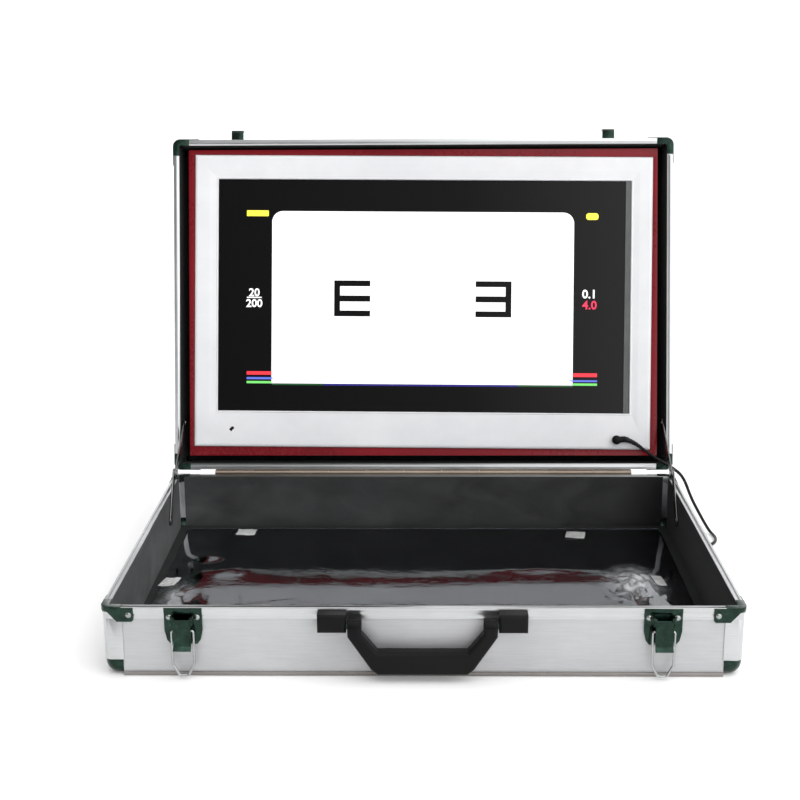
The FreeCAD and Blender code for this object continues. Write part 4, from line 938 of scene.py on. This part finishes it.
filmSettings = {
    "halfWide": 0.2711,
    "halfDeep": 0.1741,
    "height": 0.0067,
    "columns": 200,
    "rows": 130,
    "thick": 0.00015,
    "ripple": 0.00026,
    "crease": 0.0003,
    "bow": 0.0042,  # how far the film arches off the floor
    "bowMiddle": -0.06,
    # how fine each noise is across and along, and where it starts
    "broad": (9.0, 15.0, 1.5),
    "fine": (30.0, 34.0, 6.5),
    "fold": (8.0, 12.0, 11.5),
    "crumple": (95.0, 70.0, 21.5),
    "fineCrumple": (210.0, 150.0, 31.5),
    "grain": (130.0, 95.0, 41.5),
    "mostHaze": 0.55,
    # rumpled places: middle, reach across and along, height of the rise, height of its crumples
    "rumples": [
        (0.2190, 0.000, 0.018, 0.030, 0.0030, 0.0060),
        (-0.231, 0.076, 0.018, 0.012, 0.0022, 0.0006),
        (-0.252, -0.030, 0.016, 0.026, 0.0030, 0.0016),
        (-0.205, 0.040, 0.022, 0.020, 0.0009, 0.0003),
        (0.120, 0.040, 0.050, 0.012, 0.0006, 0.0002),
    ],
}


def filmNoise(x, y, name):
    fineX, fineY, seed = filmSettings[name]
    return noise.noise(Vector((x * fineX, y * fineY, seed)))


def rumplesAt(x, y):
    for middleX, middleY, reachX, reachY, height, crumple in filmSettings["rumples"]:
        away = ((x - middleX) / reachX) ** 2 + ((y - middleY) / reachY) ** 2
        if away < 4.0:
            yield away, height, crumple


def filmRise(x, y):
    settings = filmSettings
    waves = 1.0 + filmNoise(x, y, "broad") + 0.10 * filmNoise(x, y, "fine")
    fold = 1.0 - min(abs(filmNoise(x + 0.25, y, "fold")) * 6.0, 1.0)
    rise = settings["ripple"] * waves + settings["crease"] * fold * fold * 0.4
    middle = settings["bowMiddle"]
    depth = settings["halfDeep"] - middle if y > middle else settings["halfDeep"] + middle
    bow = 1.0 - ((y - middle) / depth) ** 2
    rise += settings["bow"] * max(bow, 0.0) * (1.0 - min(abs(x) / settings["halfWide"], 1.0) ** 8)
    for away, height, crumple in rumplesAt(x, y):
        rough = abs(filmNoise(x, y, "crumple")) + 0.5 * abs(filmNoise(x, y, "fineCrumple"))
        rise += math.exp(-away) * (height + crumple * rough)
    return max(rise, 0.0)


def filmHaze(x, y):
    # film that is crumpled by more than a millimetre looks milky
    total = 0.0
    for away, height, crumple in rumplesAt(x, y):
        if crumple > 0.001:
            grain = abs(filmNoise(x, y, "grain"))
            total += math.exp(-away * 0.9) * min(crumple / 0.006, 1.0) * (0.10 + 1.1 * grain)
    return min(total, filmSettings["mostHaze"])


def thickSheet(name, mesh, thick, side):
    def thicken(holder):
        sheet = holder.modifiers.new("thick", "SOLIDIFY")
        sheet.thickness = thick
        sheet.offset = side

    return smoothMesh(settle(name, mesh, thicken))


def makeFilm(settings):
    work = bmesh.new()
    grid = []
    for row in range(settings["rows"] + 1):
        y = settings["halfDeep"] * (2.0 * row / settings["rows"] - 1.0)
        grid.append([])
        for column in range(settings["columns"] + 1):
            x = settings["halfWide"] * (2.0 * column / settings["columns"] - 1.0)
            grid[-1].append(work.verts.new((x, y, settings["height"] + filmRise(x, y))))
    joinRings(work, grid, False)
    mesh = plainMesh("trayFilm", work, False)
    haze = mesh.attributes.new("haze", "FLOAT", "POINT")
    haze.data.foreach_set("value", [filmHaze(vertex.co.x, vertex.co.y) for vertex in mesh.vertices])
    sheet = thickSheet("trayFilm", mesh, settings["thick"], -1.0)
    standIn("trayFilm", sheet, "floor_film", looks["clearFilm"])


makeFilm(filmSettings)
print("stage: film")

# Tapes: four short strips of clear tape with torn, wrinkled ends. Middle, length, width and turn in degrees

tapeSettings = {
    "strips": [
        (-0.2015, 0.157, 0.0215, 0.021, -4.0),
        (0.1725, 0.1475, 0.0215, 0.024, -10.0),
        (-0.2635, 0.009, 0.022, 0.019, 78.0),
        (0.2440, 0.010, 0.026, 0.012, 96.0),
    ],
    "thick": 0.0003,
    "steps": (26, 14),
    "lift": 0.0004,
    "wrinkle": 0.0007,
    "wrinkleScale": 160.0,
    "ragged": 0.10,
    "narrow": 0.10,
    "wavy": 0.05,
    "halfTray": 0.2790,
}


def makeTapes(settings):
    work = bmesh.new()
    alongSteps, acrossSteps = settings["steps"]
    for number, (x, y, length, width, turn) in enumerate(settings["strips"]):
        angle = math.radians(turn)
        grid = []
        for row in range(alongSteps + 1):
            share = 2.0 * row / alongSteps - 1.0
            grid.append([])
            for column in range(acrossSteps + 1):
                side = 2.0 * column / acrossSteps - 1.0
                ragged = settings["ragged"] * noise.noise(Vector((side * 3.0, number * 5.0, share)))
                wavy = settings["wavy"] * noise.noise(Vector((share * 4.0, 2.0, number)))
                u = share * length / 2.0 * (1.0 + ragged)
                v = side * width / 2.0 * (1.0 + wavy - settings["narrow"] * abs(share))
                px = x + u * math.cos(angle) - v * math.sin(angle)
                py = y + u * math.sin(angle) + v * math.cos(angle)
                px = max(min(px, settings["halfTray"]), -settings["halfTray"])
                scale = settings["wrinkleScale"]
                crease = max(0.0, noise.noise(Vector((px * scale, py * scale, number + 0.5))) + 0.35)
                height = filmSettings["height"] + filmRise(px, py) + settings["lift"]
                grid[-1].append(work.verts.new((px, py, height + settings["wrinkle"] * crease)))
        joinRings(work, grid, False)
    mesh = plainMesh("tapeStrips", work)
    sheet = thickSheet("tapeStrips", mesh, settings["thick"], 1.0)
    standIn("tapeStrips", sheet, "film_tapes", looks["clearTape"])


makeTapes(tapeSettings)
print("stage: tapes")

# What the display shows beside the field: bars, figures, colour blocks and fine lines, in metres from the
# monitor's middle

displaySettings = {
    "front": -0.0077,
    "field": (-0.1750, 0.1742, -0.0950, 0.1045, 0.0125),
    # the letters' outer sides, then the levels of the three arms and how thick the back is
    "letters": [(-0.1026, -0.0608, 1), (0.0612, 0.1026, -1)],
    "letterArms": [(-0.0168, -0.0101), (0.0004, 0.0073), (0.0181, 0.0247)],
    "letterBack": 0.0068,
    "thick": 0.0001,
    "panelThick": 0.0004,
    "letterSunk": 0.0002,
    "proud": 0.0001,
    "bars": [
        ("markYellow", -0.2044, -0.1790, 0.0985, 0.1052, 0.0008),
        ("markYellow", 0.1880, 0.2022, 0.0962, 0.1040, 0.0030),
        ("markWhite", -0.2040, -0.1868, 0.0038, 0.0051, 0.0002),
        ("markRed", -0.2039, -0.1743, -0.0852, -0.0812, 0.0002),
        ("markBlue", -0.2039, -0.1732, -0.0905, -0.0880, 0.0002),
        ("markGreen", -0.2039, -0.1743, -0.0952, -0.0925, 0.0002),
        ("markRed", 0.1746, 0.2024, -0.0852, -0.0808, 0.0002),
        ("markBlue", 0.1700, 0.2025, -0.0910, -0.0888, 0.0002),
        ("markGreen", 0.1746, 0.2025, -0.0952, -0.0925, 0.0002),
        ("markPink", -0.1732, 0.1735, -0.0843, -0.0834, 0.0002),
        ("markLilac", -0.1732, 0.1736, -0.0906, -0.0899, 0.0002),
        ("markNavy", -0.1150, 0.1112, -0.0972, -0.0952, 0.0002),
        ("markDarkGreen", -0.1743, -0.1150, -0.0970, -0.0952, 0.0002),
        ("markDarkGreen", 0.1112, 0.1746, -0.0970, -0.0952, 0.0002),
    ],
    "figures": [
        ("markWhite", "20", -0.1954, 0.0098, 0.0092),
        ("markWhite", "200", -0.1954, -0.0027, 0.0092),
        ("markWhite", "0.1", 0.1926, 0.0102, 0.0100),
        ("markRose", "4.0", 0.1929, -0.0025, 0.0100),
    ],
    "raised": ["markPink", "markLilac", "markNavy", "markDarkGreen"],
    "endStrip": (0.2334, 0.2400, -0.1275, 0.1415),
    "stripRise": 0.0012,
}

glowColours = {
    "markYellow": (0.90, 0.82, 0.06),
    "markWhite": (0.92, 0.92, 0.92),
    "markRed": (0.80, 0.03, 0.05),
    "markBlue": (0.10, 0.14, 0.62),
    "markGreen": (0.16, 0.62, 0.14),
    "markPink": (0.93, 0.62, 0.70),
    "markLilac": (0.80, 0.74, 0.93),
    "markNavy": (0.015, 0.01, 0.17),
    "markDarkGreen": (0.01, 0.07, 0.02),
    "markRose": (0.75, 0.03, 0.09),
}


def roundedOutline(x0, x1, y0, y1, radius, steps=5):
    corners = [(x1 - radius, y1 - radius, 0.0), (x0 + radius, y1 - radius, 90.0),
               (x0 + radius, y0 + radius, 180.0), (x1 - radius, y0 + radius, 270.0)]
    outline = []
    for x, y, start in corners:
        for step in range(steps + 1):
            angle = math.radians(start + 90.0 * step / steps)
            outline.append((x + radius * math.cos(angle), y + radius * math.sin(angle)))
    return outline


def figureMesh(name, text, across, up, height, front, thick):
    # figures are set as text, turned to a mesh and laid on the monitor's face
    curve = bpy.data.curves.new(name, "FONT")
    curve.body = text
    curve.align_x = "CENTER"
    curve.align_y = "CENTER"
    curve.size = height * 1.38
    curve.offset = height * 0.030
    curve.extrude = thick / 2.0
    curve.resolution_u = 3
    mesh = settle(name, curve)
    for vertex in mesh.vertices:
        x, y, z = vertex.co
        vertex.co = onMonitor(across + x, up + y, front - thick / 2.0 + z)
    return mesh


def makeDisplay(settings):
    for colour, value in glowColours.items():
        looks[colour] = glowMaterial(colour, value, 1.0)
    front = settings["front"]
    groups = {}
    for colour, x0, x1, y0, y1, radius in settings["bars"]:
        raised = settings["proud"] if colour in settings["raised"] else 0.0
        outline = roundedOutline(x0, x1, y0, y1, radius)
        mesh = slabMesh("bar", outline, front - settings["thick"], front + raised)
        groups.setdefault(colour, []).append(mesh)
    for colour, text, across, up, height in settings["figures"]:
        groups.setdefault(colour, []).append(
            figureMesh("figure", text, across, up, height, front, settings["thick"]))
    x0, x1, y0, y1, radius = settings["field"]
    outline = [(x, y) for x, y in roundedOutline(x0, x1, y0, y1, radius, 8) if y > 0] + [(x0, y0), (x1, y0)]
    field = slabMesh("chartPanel", outline, front - settings["panelThick"], front)
    standIn("chartPanel", field, "chart_field", looks["chartWhite"])
    work = bmesh.new()
    for left, right, way in settings["letters"]:
        spine, tip = (left, right) if way > 0 else (right, left)
        inner = spine + way * settings["letterBack"]
        outline = []
        for low, high in settings["letterArms"]:
            outline += [(inner, low), (tip, low), (tip, high), (inner, high)]
        outline[0] = (spine, outline[0][1])
        outline[-1] = (spine, outline[-1][1])
        letter = slabMesh("letter", outline, front - settings["letterSunk"], front + settings["proud"])
        work.from_mesh(letter)
    letters = plainMesh("chartFigures", work, False)
    standIn("chartFigures", letters, "chart_letters", looks["screenBlack"])
    for colour, meshes in groups.items():
        work = bmesh.new()
        for mesh in meshes:
            work.from_mesh(mesh)
        whole = plainMesh("display" + colour[4:], work, False)
        addPiece("display" + colour[4:], whole, "lid", looks[colour])
    x0, x1, y0, y1 = settings["endStrip"]
    strip = slabMesh("screenEndStrip", [(x1, y1), (x0, y1), (x0 - 0.0006, y0), (x1 - 0.0012, y0)],
                     front - settings["panelThick"], front + settings["stripRise"])
    addPiece("screenEndStrip", strip, "lid", looks["stripGrey"])


makeDisplay(displaySettings)
print("stage: display")

# Stage: floor with a far sweep, world and lights

stageSettings = {
    "halfWidth": 14.0,
    "nearEdge": -9.0,
    "sweepStart": 5.0,
    "sweepRadius": 2.5,
    "sweepHeight": 7.0,
    "floorColour": (0.90, 0.90, 0.90),
    "floorGlow": 0.12,
    "worldLow": 0.16,   # from the left
    "worldHigh": 1.05,  # from the right
}


def makeFloor(settings):
    work = bmesh.new()
    outline = [(settings["nearEdge"], 0.0), (settings["sweepStart"], 0.0)]
    for step in range(1, 13):
        angle = math.pi / 2.0 * step / 12
        outline.append((settings["sweepStart"] + settings["sweepRadius"] * math.sin(angle),
                        settings["sweepRadius"] * (1.0 - math.cos(angle))))
    outline.append((outline[-1][0], settings["sweepHeight"]))
    rows = []
    for y, z in outline:
        rows.append([work.verts.new((side * settings["halfWidth"], y, z)) for side in (-1, 1)])
    joinRings(work, rows, False)
    mesh = smoothMesh(plainMesh("floor", work, False))
    floor = addObject("floor", mesh)
    material, tree, shader, coords = newMaterial("floor")
    setInputs(shader, {"Base Color": (*settings["floorColour"], 1.0), "Roughness": 0.9,
                       "Specular IOR Level": 0.0, "Emission Color": (1.0, 1.0, 1.0, 1.0),
                       "Emission Strength": settings["floorGlow"]})
    mesh.materials.append(material)


def makeWorld(settings):
    # a soft room that is bright on the right and darker on the left
    world = bpy.data.worlds.new("world")
    world.use_nodes = True
    tree = world.node_tree
    background = tree.nodes["Background"]
    coords = tree.nodes.new("ShaderNodeTexCoord")
    split = tree.nodes.new("ShaderNodeSeparateXYZ")
    tree.links.new(coords.outputs["Generated"], split.inputs["Vector"])
    node = tree.nodes.new("ShaderNodeMapRange")
    node.interpolation_type = "SMOOTHSTEP"
    setInputs(node, {"From Min": -0.75, "From Max": 0.65,
                     "To Min": settings["worldLow"], "To Max": settings["worldHigh"]})
    tree.links.new(split.outputs["X"], node.inputs["Value"])
    tree.links.new(node.outputs["Result"], background.inputs["Strength"])
    setInputs(background, {"Color": (1.0, 1.0, 1.0, 1.0)})
    bpy.context.scene.world = world
    bpy.context.scene.view_settings.view_transform = "Standard"


sunSettings = [
    {"name": "keySoft", "from": (1.0, -0.75, 1.25), "power": 1.45, "spread": 95.0},
    {"name": "topSoft", "from": (0.15, -0.1, 1.0), "power": 0.80, "spread": 110.0},
    {"name": "glint", "from": (-0.25, -0.55, 1.0), "power": 0.16, "spread": 9.0},
]


def makeLights(lights):
    for settings in lights:
        data = bpy.data.lights.new(settings["name"], "SUN")
        data.energy = settings["power"]
        data.angle = math.radians(settings["spread"])
        turn = (-Vector(settings["from"])).to_track_quat("-Z", "Y")
        addObject(settings["name"], data).matrix_world = turn.to_matrix().to_4x4()


makeFloor(stageSettings)
makeWorld(stageSettings)
makeLights(sunSettings)
print("stage: floor and lights")
